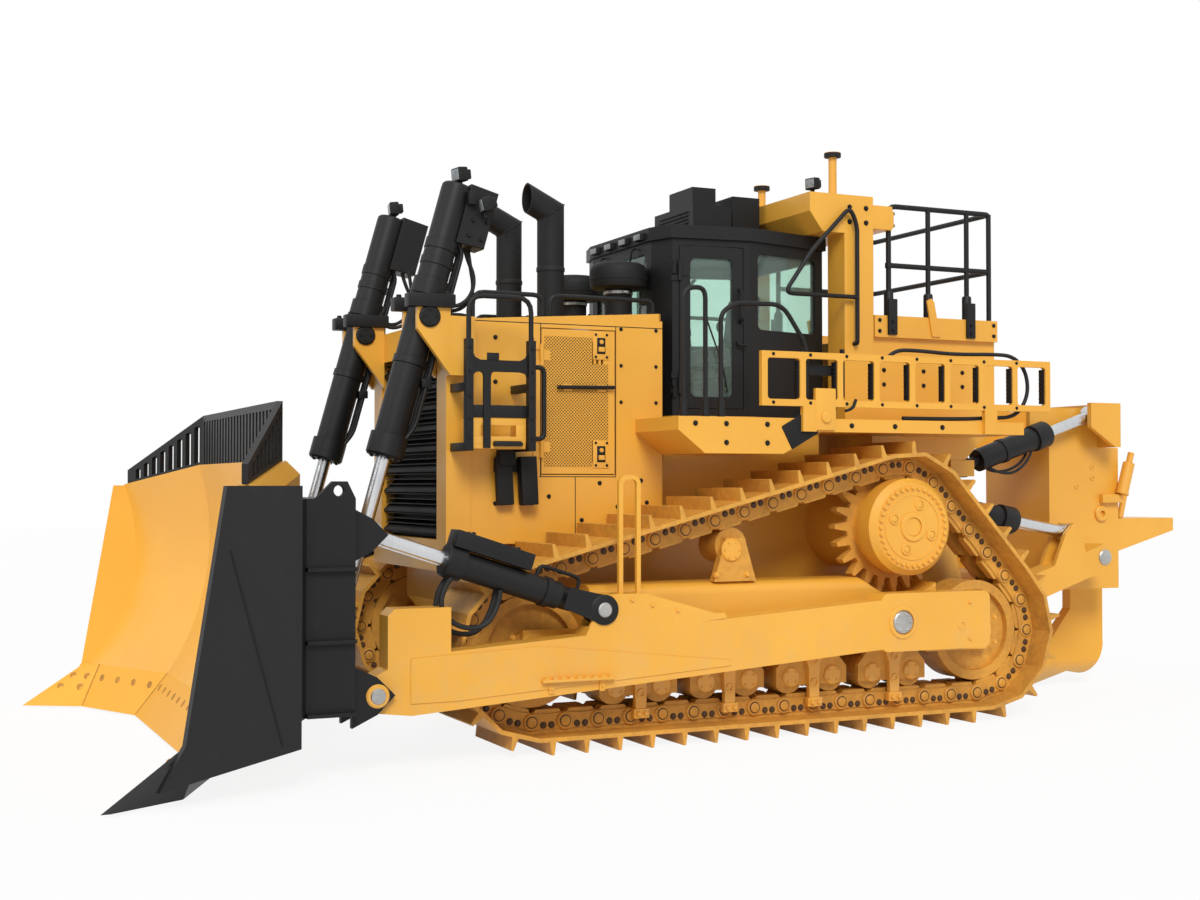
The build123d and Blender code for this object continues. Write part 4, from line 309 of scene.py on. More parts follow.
yellow = yellowPaint("yellowPaint")
yellowLow = yellowPaint("yellowRunningGear", 1.1, 0.5)
yellowBlade = yellowPaint("yellowBladeFace", 0.6, 0.45, rough=0.36)
black = blackPaint("blackPaint")
blackMatt = blackPaint("blackMatt", 0.58, 0.25)
trackSteel = trackPaint("trackPaint")
chrome = bareSteel("chromeRod", rgb(0.68, 0.69, 0.70), rgb(0.54, 0.55, 0.57), 0.17, (1.0, 1.0, 0.05))
steel = bareSteel("bareSteel", rgb(0.55, 0.54, 0.52), rgb(0.33, 0.32, 0.30), 0.34)
glass = tintedGlass("tintedGlass")
hoseRubber = rubber("hoseRubber")
trim = cabTrim("cabTrim")
cloth = seatCloth("seatCloth")
doorMesh = perforated("perforatedSheet")
lens = lampLens("lampLens")
shank = shankSteel("shankSteel")
# near-black track paint: painted shade for the link pockets and the gap round each pin
pocketPaintedShade = trackPaint("pocketPaintedShade", rgb(0.10, 0.05, 0.018), rgb(0.035, 0.02, 0.012))
springHose = rubber("springHose", 0.5)
edgeDark = trackPaint("edgeDark", rgb(0.50, 0.24, 0.035), rgb(0.20, 0.10, 0.02))
endPaint = bladePaint("endPaint", (-1.2, -0.8), 0.0)
edgePaint = bladePaint("edgePaint", (0.9, 1.3), 1.0)
finishOf = {
    "yellow_paint": yellow, "black_paint": black, "track_steel": trackSteel, "chrome_rod": chrome,
    "wear_steel": steel, "tinted_glass": glass, "cab_trim": trim,
}
ownFinish = {
    "moldboard": yellowBlade, "cutting_edges": edgePaint, "blade_ends": endPaint, "ripper_shank": shank,
    "track_frames": yellowLow, "push_arms": yellowLow, "final_drives": yellowLow,
    "radiator_core": blackMatt, "engine_block": blackMatt,
    "precleaners": blackMatt, "exhaust_stacks": blackMatt, "trunnions": steel, "breather_posts": yellow,
}
slotOf = {}
for entry in frame["record"]["subparts"]:
    slotOf[entry["node"]] = entry["material_slot"]
for name, item in nodes.items():
    item.data.materials.clear()
    item.data.materials.append(ownFinish.get(name) or finishOf[slotOf.get(name, "yellow_paint")])
print("finishes set on", len(nodes), "nodes")


# mesh building
up = (0, 0, 1)
out = (0, 1, 0)  # away from the left side
bothSides = ((1, "left"), (-1, "right"))
boxQuads = ((0, 1, 3, 2), (4, 6, 7, 5), (0, 4, 5, 1), (2, 3, 7, 6), (0, 2, 6, 4), (1, 5, 7, 3))


def square(axis):  # two directions across an axis
    axis = Vector(axis).normalized()
    side = Vector((0, 0, 1)) if abs(axis.z) < 0.9 else Vector((1, 0, 0))
    first = side.cross(axis).normalized()
    return first, axis.cross(first)


def circle(axis, count, turn=0.0):  # directions round an axis
    first, second = square(axis)
    angles = [turn + 2 * math.pi * i / count for i in range(count)]
    return [first * math.cos(angle) + second * math.sin(angle) for angle in angles]


class Form:
    def __init__(self):
        self.bm = bmesh.new()

    def grid(self, rows, closeEnds=True):
        made = [[self.bm.verts.new(p) for p in row] for row in rows]
        span = len(rows[0])
        for lower, upper in zip(made, made[1:]):
            for i in range(span):
                j = (i + 1) % span
                self.bm.faces.new((lower[i], lower[j], upper[j], upper[i]))
        if closeEnds:
            self.bm.faces.new(list(reversed(made[0])))
            self.bm.faces.new(made[-1])

    # profile of radius and rise, hollow with a bore
    def lathe(self, centre, axis, profile, sides=20, bore=0):
        if bore:
            profile = profile + [(bore, profile[-1][1]), (bore, profile[0][1]), profile[0]]
        ways = circle(axis, sides)
        axis = Vector(axis).normalized()
        rows = []
        for radius, rise in profile:
            rows.append([Vector(centre) + axis * rise + way * max(radius, 1e-4) for way in ways])
        self.grid(rows, not bore)

    def cap(self, centre, axis, radius, rise, sides=24):  # low disc with a rounded rim
        edge = min(radius * 0.15, rise * 0.6)
        self.lathe(centre, axis, [(radius, -0.002), (radius, rise - edge), (radius - edge, rise)], sides)

    def ring(self, centre, axis, inner, outer, rise, sides=28):
        edge = min((outer - inner) * 0.25, rise * 0.4)
        self.lathe(centre, axis, [(outer, -0.002), (outer, rise - edge), (outer - edge, rise)], sides, inner)

    def bolt(self, centre, axis, size=0.016):
        self.lathe(centre, axis, [(size * 1.35, -0.001), (size * 1.35, size * 0.22)], 12)
        start = Vector(centre) + Vector(axis).normalized() * size * 0.22
        self.lathe(start, axis, [(size, 0), (size, size * 0.75), (size * 0.8, size * 0.95)], 6)

    def bolts(self, places, size, axis=out):
        for place in places:
            self.bolt(place, axis, size)

    def boltRing(self, centre, axis, radius, count, size=0.016, turn=0.0):
        self.bolts([Vector(centre) + way * radius for way in circle(axis, count, turn)], size, axis)

    def block(self, corners, bevel, segments=2, profile=0.6):
        spots = [self.bm.verts.new(p) for p in corners]
        faces = [self.bm.faces.new([spots[i] for i in quad]) for quad in boxQuads]
        if bevel:
            edges = list(dict.fromkeys(edge for face in faces for edge in face.edges))
            bmesh.ops.bevel(
                self.bm, geom=edges, offset=bevel, segments=segments, profile=profile, affect="EDGES")

    def slab(self, low, high, bevel=0.004, turn=None, about=None):  # turn is an angle and its axis
        xs, ys, zs = (sorted(pair) for pair in zip(low, high))
        corners = [Vector((x, y, z)) for x in xs for y in ys for z in zs]
        if turn:
            spin = Matrix.Rotation(turn[0], 3, Vector(turn[1]))
            pivot = Vector(about)
            corners = [pivot + spin @ (p - pivot) for p in corners]
        self.block(corners, bevel)

    def prism(self, outline, base, rise, bevel=0.0):  # outline points, extruded by the vector rise
        lower = [self.bm.verts.new(Vector(base) + Vector(p)) for p in outline]
        upper = [self.bm.verts.new(Vector(base) + Vector(p) + Vector(rise)) for p in outline]
        faces = [self.bm.faces.new(list(reversed(lower))), self.bm.faces.new(upper)]
        for i in range(len(lower)):
            j = (i + 1) % len(lower)
            self.bm.faces.new((lower[i], lower[j], upper[j], upper[i]))
        if bevel:
            edges = list(dict.fromkeys(edge for face in faces for edge in face.edges))
            bmesh.ops.bevel(self.bm, geom=edges, offset=bevel, segments=1, affect="EDGES")

    def plate(self, profile, y, thick, bevel=0.0):  # x and z of an upright plate's edge
        self.prism([(x, 0, z) for x, z in profile], (0, y, 0), (0, thick, 0), bevel)

    def tube(self, points, radius, sides=10):
        points = [Vector(p) for p in points]
        rows = []
        a = None
        for i, point in enumerate(points):
            before = (point - points[i - 1]).normalized() if i else None
            after = (points[i + 1] - point).normalized() if i + 1 < len(points) else None
            way = ((before or after) + (after or before)).normalized()
            if a is None:
                a = square(way)[0]
            a = (a - way * a.dot(way)).normalized()
            b = way.cross(a)
            wide = radius / max(0.5, way.dot(before or after))
            angles = [2 * math.pi * k / sides for k in range(sides)]
            rows.append([point + (a * math.cos(angle) + b * math.sin(angle)) * wide for angle in angles])
        self.grid(rows)

    def bent(self, points, radius, corner, sides=10):  # tube with rounded corners
        points = [Vector(p) for p in points]
        path = [points[0]]
        for before, here, after in zip(points, points[1:], points[2:]):
            reach = min(corner, (here - before).length * 0.45, (after - here).length * 0.45)
            start = here + (before - here).normalized() * reach
            end = here + (after - here).normalized() * reach
            for t in (0, 0.25, 0.5, 0.75, 1):
                path.append(start * (1 - t) ** 2 + here * 2 * t * (1 - t) + end * t ** 2)
        path.append(points[-1])
        self.tube(path, radius, sides)

    def mirrored(self):  # second copy on the right side
        whole = self.bm.verts[:] + self.bm.edges[:] + self.bm.faces[:]
        copy = bmesh.ops.duplicate(self.bm, geom=whole)["geom"]
        for item in copy:
            if isinstance(item, bmesh.types.BMVert):
                item.co.y = -item.co.y
        faces = [item for item in copy if isinstance(item, bmesh.types.BMFace)]
        bmesh.ops.reverse_faces(self.bm, faces=faces)

    def piece(self, name, body, slot, material, sharp=0.6):
        bmesh.ops.recalc_face_normals(self.bm, faces=self.bm.faces[:])
        mesh = bpy.data.meshes.new(name)
        self.bm.to_mesh(mesh)
        self.bm.free()
        for face in mesh.polygons:
            face.use_smooth = True
        mesh.set_sharp_from_angle(angle=sharp)
        mesh.materials.append(material)
        made = bpy.data.objects.new(name, mesh)
        scene.collection.objects.link(made)
        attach(made, body)
        return made

    def pair(self, name, body, slot, material):  # the piece on both sides
        self.mirrored()
        return self.piece(name, body, slot, material)


# camera, floor and light
viewSpec = {"at": (6.3253, 11.8875, 1.8911), "yaw": 24.765, "pitch": 1.233, "pixels": 1592.15, "width": 1200}
yaw, pitch = math.radians(viewSpec["yaw"]), math.radians(viewSpec["pitch"])
look = Vector((-math.sin(yaw) * math.cos(pitch), -math.cos(yaw) * math.cos(pitch), math.sin(pitch)))
cameraData = bpy.data.cameras.new("photoCamera")
cameraData.sensor_width = 36.0
cameraData.lens = viewSpec["pixels"] / viewSpec["width"] * 36.0
cameraData.clip_end = 200.0
camera = bpy.data.objects.new("photoCamera", cameraData)
camera.location = viewSpec["at"]
camera.rotation_euler = look.to_track_quat("-Z", "Y").to_euler()
scene.collection.objects.link(camera)
scene.camera = camera
scene.view_settings.view_transform = "Standard"

floorSpec = {"half": 60.0, "shown": 0.88}
floorMesh = bpy.data.meshes.new("floor")
half = floorSpec["half"]
floorCorners = [(-half, -half, 0), (half, -half, 0), (half, half, 0), (-half, half, 0)]
floorMesh.from_pydata(floorCorners, [], [(0, 1, 2, 3)])
floor = bpy.data.objects.new("floor", floorMesh)
scene.collection.objects.link(floor)
pale = Finish("paleFloor", {"Roughness": 0.9, "Specular IOR Level": 0.0})
pale.feed("Base Color", pale.mix(pale.noise(0.4, 3), rgb(0.93, 0.93, 0.93), rgb(0.96, 0.96, 0.96)))
glow = pale.node("ShaderNodeEmission", None, {"Color": rgb(1, 1, 1), "Strength": 1.0})
surface = pale.node("ShaderNodeMixShader", None, {
    0: pale.seen() * floorSpec["shown"], 1: Val(pale.tree, pale.shader.outputs[0]), 2: glow})
plug(pale.tree, pale.tree.nodes["Material Output"].inputs["Surface"], surface)
floorMesh.materials.append(pale.mat)

skySpec = {"light": 0.44, "shown": 1.0}
world = bpy.data.worlds.new("studio")
world.use_nodes = True
scene.world = world
sky = NodeTree(world.node_tree)
backdrop = sky.tree.nodes["Background"].inputs
plug(sky.tree, backdrop["Strength"], sky.seen() * (skySpec["shown"] - skySpec["light"]) + skySpec["light"])
backdrop["Color"].default_value = rgb(1, 1, 1)

lampSpec = {"key": (2.1, (0.28, 0.80, 0.66), 0.4), "side": (0.50, (0.95, 0.10, 0.45), 0.6)}
for name, (strength, toward, spread) in lampSpec.items():
    data = bpy.data.lights.new(name, "SUN")
    data.energy = strength
    data.angle = spread
    lamp = bpy.data.objects.new(name, data)
    lamp.rotation_euler = Vector(toward).to_track_quat("Z", "Y").to_euler()
    scene.collection.objects.link(lamp)
print("camera, floor and light set")


# track links and pins along the shoe path
trackSpec = {
    "gauge": 2.55, "idlers": (0.0, 3.885), "idlerRadius": 0.42, "sprocket": (0.75, 1.558, 0.392),
    "lift": 0.085, "shoes": 44, "trackHeight": 0.293, "strandOut": 0.14, "boss": 0.0672, "pin": 0.036,
    "waist": 0.050,
    "proud": (0.010, 0.016), "pocketShade": (0.39, 0.63), "pocketDrop": 0.026}
idlerZ = trackSpec["trackHeight"] + trackSpec["idlerRadius"]
rim = trackSpec["idlerRadius"] + trackSpec["lift"]
sprocketAhead, sprocketZ, sprocketRadius = trackSpec["sprocket"]
wheels = [(st(ahead), idlerZ, rim) for ahead in trackSpec["idlers"]]
wheels.append((st(sprocketAhead), sprocketZ, sprocketRadius + trackSpec["lift"]))
following = wheels[1:] + wheels[:1]


def heading(first, second):
    span = math.hypot(second[0] - first[0], second[1] - first[1])
    return math.atan2(second[1] - first[1], second[0] - first[0]) + math.asin((first[2] - second[2]) / span)


headings = [heading(a, b) % (2 * math.pi) for a, b in zip(wheels, following)]
turns = [(b - a) % (2 * math.pi) for a, b in zip(headings, headings[1:] + headings[:1])]
runs = [
    math.sqrt((b[0] - a[0]) ** 2 + (b[1] - a[1]) ** 2 - (a[2] - b[2]) ** 2)
    for a, b in zip(wheels, following)]
loopLength = sum(runs) + sum(turn * wheel[2] for turn, wheel in zip(turns, following))


def pathPoint(travel):  # x and z of a place along the loop
    left = travel % loopLength
    for here, after, way, run, turn in zip(wheels, following, headings, runs, turns):
        if left <= run:
            return (here[0] + here[2] * math.sin(way) + left * math.cos(way),
                    here[1] - here[2] * math.cos(way) + left * math.sin(way))
        left -= run
        if left <= turn * after[2]:
            turned = way + left / after[2]
            return after[0] + after[2] * math.sin(turned), after[1] - after[2] * math.cos(turned)
        left -= turn * after[2]
    return pathPoint(0)


def linkEdge(span):  # a link plate's edge, along and across from its first pin
    edge = []
    boss = trackSpec["boss"]
    for spot, first, sign, shares in (
            (0, math.pi / 2, -1, (0.30, 0.70)), (span, -math.pi / 2, 1, (0.70, 0.30))):
        angles = [first + math.pi * k / 6 for k in range(7)]
        edge += [(spot + boss * math.cos(angle), boss * math.sin(angle)) for angle in angles]
        edge += [(span * share, sign * trackSpec["waist"]) for share in shares]
    return edge


pins = [pathPoint(i * loopLength / trackSpec["shoes"]) for i in range(trackSpec["shoes"])]
for side, sideName in bothSides:
    links, pinEnds, pocketShade = Form(), Form(), Form()
    for i, (x, z) in enumerate(pins):
        nx, nz = pins[(i + 1) % len(pins)]
        span = math.hypot(nx - x, nz - z)
        along = Vector(((nx - x) / span, 0, (nz - z) / span))
        across = Vector((-along.z, 0, along.x))
        for strand in (-1, 1):
            facing = (0, strand, 0)
            y = side * trackSpec["gauge"] / 2 + strand * trackSpec["strandOut"]
            proud = strand * trackSpec["proud"][i % 2]
            outline = [along * a + across * b for a, b in linkEdge(span)]
            links.prism(outline, (x, y, z), (0, proud, 0), 0.003)
            # flat dark discs with a nut at each link pocket: painted shade in the pockets
            for share in trackSpec["pocketShade"]:
                spot = Vector((x, y + proud, z)) + along * span * share - across * trackSpec["pocketDrop"]
                pocketShade.lathe(spot, facing, [(0.026, -0.001), (0.026, 0.0006), (0.0255, 0.001)], 16)
                pocketShade.lathe(spot, facing, [(0.017, 0.0), (0.017, 0.006), (0.013, 0.009)], 6)
            spot = (x, y + strand * trackSpec["proud"][1], z)
            pinEnds.lathe(spot, facing, [(0.060, -0.001), (0.060, 0.009), (0.053, 0.014)], 20)
            # thin dark ring round the pin: painted shade of the gap round it
            pocketShade.lathe(spot, facing, [(0.045, 0.0135), (0.045, 0.0146)], 18)
            pin = trackSpec["pin"]
            pinEnds.lathe(spot, facing, [(pin, 0.013), (pin, 0.019), (0.030, 0.023)], 16)
    links.piece("trackLinks." + sideName, "tractor", "track_steel", trackSteel)
    pinEnds.piece("trackPins." + sideName, "tractor", "track_steel", trackSteel)
    pocketShade.piece("linkPocketShade." + sideName, "tractor", "track_steel", pocketPaintedShade)
print("track links and pins:", len(pins) * 2)

# hub, rollers and idlers
hubSpec = {"face": 1.62, "boltRadius": 0.304, "bolts": 36, "earRadius": 0.185, "ears": (20, 110, 200, 290)}
hub = Form()
centre = Vector((st(sprocketAhead), hubSpec["face"], sprocketZ))
hub.boltRing(centre, out, hubSpec["boltRadius"], hubSpec["bolts"], 0.0165)
hub.ring(centre, out, 0.245, 0.262, 0.006, 40)
hub.ring(centre, out, 0.075, 0.115, 0.016)
hub.cap(centre, out, 0.072, 0.006)
for ear in hubSpec["ears"]:
    angle = math.radians(ear)
    spot = centre + Vector((math.cos(angle), 0, math.sin(angle))) * hubSpec["earRadius"]
    hub.ring(spot, out, 0.030, 0.046, 0.012, 20)
    hub.lathe(spot, out, [(0.029, -0.001), (0.029, 0.008), (0.020, 0.012)], 6)
hub.pair("hubCovers", "tractor", "yellow_paint", yellowLow)

rollerSpec = {"first": 0.65, "last": 3.235, "count": 8, "z": 0.423}
bogieSpec = {  # half width, bottom and top of the post and its foot
    "post": (0.045, 0.215, 0.60), "foot": (0.062, 0.195, 0.265), "proud": 0.040, "bosses": (0.545, 0.375)}
idlerSpec = {"face": 1.465, "bolts": (-0.156, 0.26)}
carrierSpec = {"x": st(2.29), "z": 1.40, "foot": 1.215}
rollerPitch = (rollerSpec["last"] - rollerSpec["first"]) / (rollerSpec["count"] - 1)
face = max(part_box("bogies")[1].y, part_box("track_rollers")[1].y)
front = face + bogieSpec["proud"]
caps = Form()
for i in range(rollerSpec["count"]):
    x = st(rollerSpec["first"] + i * rollerPitch)
    caps.cap((x, face, rollerSpec["z"]), out, 0.075, 0.014)
    caps.boltRing((x, face + 0.012, rollerSpec["z"]), out, 0.052, 4, 0.009, 0.785)
for i in range(0, rollerSpec["count"], 2):
    x = st(rollerSpec["first"] + (i + 0.5) * rollerPitch)
    half, low, high = bogieSpec["post"]
    neck, flare = high - 0.10, half + 0.05
    post = ((-half, low), (half, low), (half, neck), (flare, high), (-flare, high), (-half, neck))
    caps.plate([(x + dx, z) for dx, z in post], face - 0.002, bogieSpec["proud"], 0.004)
    half, low, high = bogieSpec["foot"]
    caps.slab((x - half, face - 0.002, low), (x + half, front + 0.012, high), 0.006)
    for z in bogieSpec["bosses"]:
        caps.ring((x, front - 0.003, z), out, 0.020, 0.034, 0.010, 22)
    caps.bolts([(x + dx, front + 0.012, (low + high) / 2) for dx in (-0.030, 0.030)], 0.017)
for ahead in trackSpec["idlers"]:
    x, y = st(ahead), idlerSpec["face"]
    inward = 1 if ahead < 1 else -1
    caps.cap((x, y, idlerZ), out, 0.125, 0.020, 32)
    caps.boltRing((x, y + 0.018, idlerZ), out, 0.095, 8, 0.011)
    caps.ring((x, y + 0.018, idlerZ), out, 0.030, 0.052, 0.010)
    stations = [x + dx * inward for dx in idlerSpec["bolts"]]
    caps.bolts([(at, y, idlerZ + dz) for at in stations for dz in (-0.10, 0.10)], 0.017)
x, y = carrierSpec["x"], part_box("carrier_rollers")[1].y
caps.cap((x, y, carrierSpec["z"]), out, 0.088, 0.018)
caps.boltRing((x, y + 0.016, carrierSpec["z"]), out, 0.062, 6, 0.009)
caps.bolts([(x + dx, y, carrierSpec["foot"]) for dx in (-0.13, 0.13)], 0.017)
caps.pair("rollerCaps", "tractor", "track_steel", yellowLow)
print("running gear caps set")

# push arms: pivot caps, treads and bolts
armSpec = {
    "face": 1.87, "pivot": (st(1.026), 0.845), "pin": (st(5.161), 0.523),
    "tread": (st(3.46), st(4.00), 0.575), "teeth": 9,
    "plate": ((4.92, 0.75), (3.99, 0.79), (2.52, 0.632), (2.52, 0.588), (4.60, 0.455), (4.92, 0.45)),
    "wedge": ((2.98, 0.89), (2.55, 0.93), (2.57, 0.972), (2.98, 0.95)),
    "bolts": ((3.15, 1.045), (3.31, 1.085), (2.95, 1.0), (0.40, 0.98), (0.40, 0.70))}
skin = armSpec["face"] - 0.002
pivots, arms = Form(), Form()
x, z = armSpec["pivot"]
pivots.cap((x, armSpec["face"], z), out, 0.088, 0.016, 36)
pivots.boltRing((x, armSpec["face"] + 0.014, z), out, 0.064, 6, 0.010)
pivots.pair("pivotCaps", "tractor", "wear_steel", steel)
arms.ring((x, armSpec["face"], z), out, 0.095, 0.125, 0.012, 36)
arms.cap((armSpec["pin"][0], 1.930, armSpec["pin"][1]), out, 0.078, 0.016, 28)
arms.plate([(st(ahead), z) for ahead, z in armSpec["plate"]], 1.869, 0.009, 0.003)
arms.ring((st(0.475), armSpec["face"], 0.805), out, 0.022, 0.040, 0.006)
rear, front, level = armSpec["tread"]
arms.slab((rear, skin, level - 0.030), (front, 1.925, level - 0.012), 0.003)
tooth = ((-0.016, 0, 0), (0.016, 0, 0), (0.008, 0, 0.016), (-0.008, 0, 0.016))
for i in range(armSpec["teeth"]):
    x = rear + 0.03 + i * (front - rear - 0.06) / (armSpec["teeth"] - 1)
    arms.prism(tooth, (x, skin, level - 0.012), (0, 0.055, 0))
for x in (st(3.54), st(3.92)):
    arms.slab((x - 0.02, skin, level - 0.11), (x + 0.02, 1.884, level - 0.028), 0.003)
    arms.bolt((x, 1.884, level - 0.075), out, 0.011)
arms.plate([(st(ahead), z) for ahead, z in armSpec["wedge"]], 1.866, 0.005)
arms.bolts([(st(ahead), armSpec["face"], z) for ahead, z in armSpec["bolts"]], 0.014)
arms.pair("armTrim", "push_arms", "yellow_paint", yellowLow)


class Ram:  # places on a cylinder: travel along it from its pin, off its line and at y
    def __init__(self, spec, turned=1):
        self.pin = spec["pin"]
        self.y = spec["y"]
        self.turned = turned
        self.way = Vector((spec["way"][0], 0, spec["way"][1]))
        self.pair = spec["way"]

    def at(self, travel, off=0.0, y=None):
        ahead, rise = self.pair
        off = off * self.turned
        return Vector((
            self.pin[0] + travel * ahead + off * rise, self.y if y is None else y,
            self.pin[1] + travel * rise - off * ahead))


# braces: gland, guard box, handle and eye caps
braceSpec = {
    "y": 1.775, "pin": (1.673, 1.022), "way": (0.95108, 0.30902), "eyeFace": 1.8715, "guard": (1.685, 1.865)}
brace = Ram(braceSpec, -1)
rearX, rearZ = braceSpec["pin"]
ahead, rise = braceSpec["way"]
braces, eyes = Form(), Form()
gland = [(0.096, 0), (0.118, 0.004), (0.118, 0.125), (0.108, 0.138), (0.060, 0.1385)]
braces.lathe(brace.at(1.06), brace.way, gland, 28, 0.056)
band = [(0.096, 0), (0.106, 0.004), (0.106, 0.05), (0.096, 0.054)]
braces.lathe(brace.at(0.40), brace.way, band, 28, 0.093)
braces.lathe(brace.at(0.19), brace.way, [(0.060, 0), (0.080, 0.03), (0.082, 0.20), (0.094, 0.22)], 28, 0.040)
corner = brace.at(0.60, 0.100, braceSpec["guard"][0])
far = (corner.x + 0.58, braceSpec["guard"][1], corner.z + 0.115)
braces.slab(corner, far, 0.008, (-math.atan2(rise, ahead), (0, 1, 0)), corner)
lid = [brace.at(travel, 0.214, y) for travel in (0.72, 1.06) for y in (1.73, 1.82)]
braces.bolts(lid, 0.014, (-rise, 0, ahead))
handle = ((0.20, 0.06), (0.20, 0.165), (0.52, 0.165), (0.52, 0.06))
braces.bent([brace.at(travel, lift) for travel, lift in handle], 0.013, 0.05)
eye = (rearX, braceSpec["eyeFace"], rearZ)
braces.lathe(eye, out, [(0.100, 0), (0.105, 0.003), (0.105, 0.013), (0.099, 0.017)], 36)
cheekEdge = ((0.0, 0.10), (0.0, -0.10), (0.30, -0.075), (0.30, 0.075))
cheek = [brace.at(travel, off, 0) for travel, off in cheekEdge]
braces.prism(cheek, (0, braceSpec["eyeFace"], 0), (0, 0.013, 0), 0.003)
braces.pair("braceTrim", "brace_barrels", "black_paint", black)
eyes.cap((rearX, 1.889, rearZ), out, 0.052, 0.012, 28)
eyes.cap((armSpec["pin"][0], 1.945, armSpec["pin"][1]), out, 0.052, 0.010, 28)
eyes.pair("braceEyeCaps", "push_arms", "wear_steel", steel)
print("push arm and brace trim set")

# lift cylinders: glands, lines, trunnion caps and barrels
liftSpec = {
    "y": 0.81, "pin": (2.65, 3.10), "way": (0.2688, -0.9632), "lines": (-0.045, 0.045), "trunnion": 0.185}
lift = Ram(liftSpec)
pinX, pinZ = liftSpec["pin"]
lifts, barrels = Form(), Form()
gland = [(0.116, 0), (0.138, 0.005), (0.138, 0.155), (0.126, 0.172), (0.062, 0.1725)]
lifts.lathe(lift.at(0.88), lift.way, gland, 30, 0.056)
lifts.lathe(lift.at(0.30), lift.way, [(0.116, 0), (0.124, 0.004), (0.124, 0.055), (0.116, 0.06)], 30, 0.112)
lifts.lathe(lift.at(-0.30), lift.way, [(0.116, 0), (0.132, 0.006), (0.132, 0.13), (0.116, 0.14)], 30, 0.112)
lifts.boltRing(lift.at(1.05), lift.way, 0.100, 8, 0.013)
line = ((-0.62, 0.10), (-0.55, 0.155), (0.78, 0.155), (0.90, 0.10))
for off in liftSpec["lines"]:
    lifts.bent([lift.at(travel, back, lift.y + off) for travel, back in line], 0.017, 0.06)
for travel in (-0.1, 0.45):
    clip = lift.at(travel, 0.155)
    lifts.slab((clip.x - 0.03, 0.74, clip.z - 0.03), (clip.x + 0.045, 0.88, clip.z + 0.03), 0.005)
for way in (-1, 1):
    y = lift.y + way * liftSpec["trunnion"]
    lifts.lathe((pinX, y, pinZ), (0, way, 0), [(0.080, -0.012), (0.080, 0.012), (0.066, 0.022)], 26)
    lifts.boltRing((pinX, y + way * 0.018, pinZ), (0, way, 0), 0.045, 4, 0.010)
lifts.pair("liftTrim", "lift_barrels", "black_paint", black)

shell = [(0.060, 0), (0.100, 0.006), (0.113, 0.020), (0.115, 0.05), (0.115, 2.05), (0.112, 2.09)]
barrels.lathe(lift.at(-1.04), lift.way, shell, 44, 0.0515)
barrels.lathe(lift.at(-1.046), lift.way, [(0.055, 0), (0.070, 0.004), (0.070, 0.022)], 28)
guardEdge = ((-1.055, 0.07), (-1.055, 0.29), (-0.62, 0.29), (-0.60, 0.07))
guard = [lift.at(travel, back, 0) for travel, back in guardEdge]
barrels.prism(guard, (0, lift.y - 0.108, 0), (0, 0.216, 0), 0.006)
for way in (-1, 1):
    barrels.lathe((pinX, lift.y + way * 0.10, pinZ), (0, way, 0), [(0.045, 0), (0.045, 0.085)], 24)
for start, wide in ((-0.60, 0.08), (-0.46, 0.06)):
    band = [(0.116, 0), (0.122, 0.003), (0.122, wide - 0.003), (0.116, wide)]
    barrels.lathe(lift.at(start), lift.way, band, 36, 0.112)
barrelShells = barrels.pair("liftBarrelShells", "lift_barrels", "black_paint", black)
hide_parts("lift_barrels")


def workLamp(shell, face, centre, way, size):  # round-cornered lamp with a bezel and foot
    centre = Vector(centre)
    way = Vector(way).normalized()
    a, b = square(way)
    for form, offset, wide, tall, deep, bevel in (
            (shell, 0.0, 1.0, 0.82, 0.6, 0.10), (shell, -0.42, 0.7, 0.55, 0.3, 0.06),
            (face, 0.31, 0.82, 0.62, 0.04, 0.015)):
        corners = [
            centre + (way * (offset + i * deep / 2) + a * (j * wide / 2) + b * (k * tall / 2)) * size
            for i in (-1, 1) for j in (-1, 1) for k in (-1, 1)]
        form.block(corners, bevel * size, 3, 0.5)
    shell.tube([centre - Vector((0, 0, size * drop)) for drop in (0.35, 0.75)], size * 0.16)


shells, faces = Form(), Form()
workLamp(shells, faces, lift.at(-1.02, 0.02) + Vector((0, 0, 0.10)), (0.9, 0.15, -0.1), 0.13)
workLamp(shells, faces, lift.at(-0.93, 0.20, 0.965), (0.9, -0.1, -0.25), 0.13)
guardBolts = ((-0.68, 0.15), (-0.68, 0.25), (-0.80, 0.15), (-0.82, 0.26))
shells.bolts([lift.at(travel, back, 0.918) for travel, back in guardBolts], 0.014)
foot = lift.at(-0.95, 0.1)
shells.slab((foot.x - 0.02, 0.900, foot.z - 0.05), (foot.x + 0.04, 0.965, foot.z + 0.05), 0.008)
shells.pair("liftLampShells", "lift_barrels", "black_paint", blackMatt)
faces.pair("liftLampLenses", "lift_barrels", "tinted_glass", lens)
shells, faces = Form(), Form()
lampLow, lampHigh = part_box("work_lamps")
x, y = (lampLow.x + lampHigh.x) / 2, lampHigh.y - 0.065
workLamp(shells, faces, (x, y, lampHigh.z - 0.055), (0.95, 0.25, -0.05), 0.115)
shells.slab((x - 0.05, y - 0.05, lampLow.z - 0.001), (x + 0.05, y + 0.05, lampLow.z + 0.018), 0.005)
lampShells = shells.pair("frameLampShells", "tractor", "black_paint", blackMatt)
faces.pair("frameLampLenses", "tractor", "tinted_glass", lens)
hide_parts("work_lamps")
print("lift cylinder trim set")

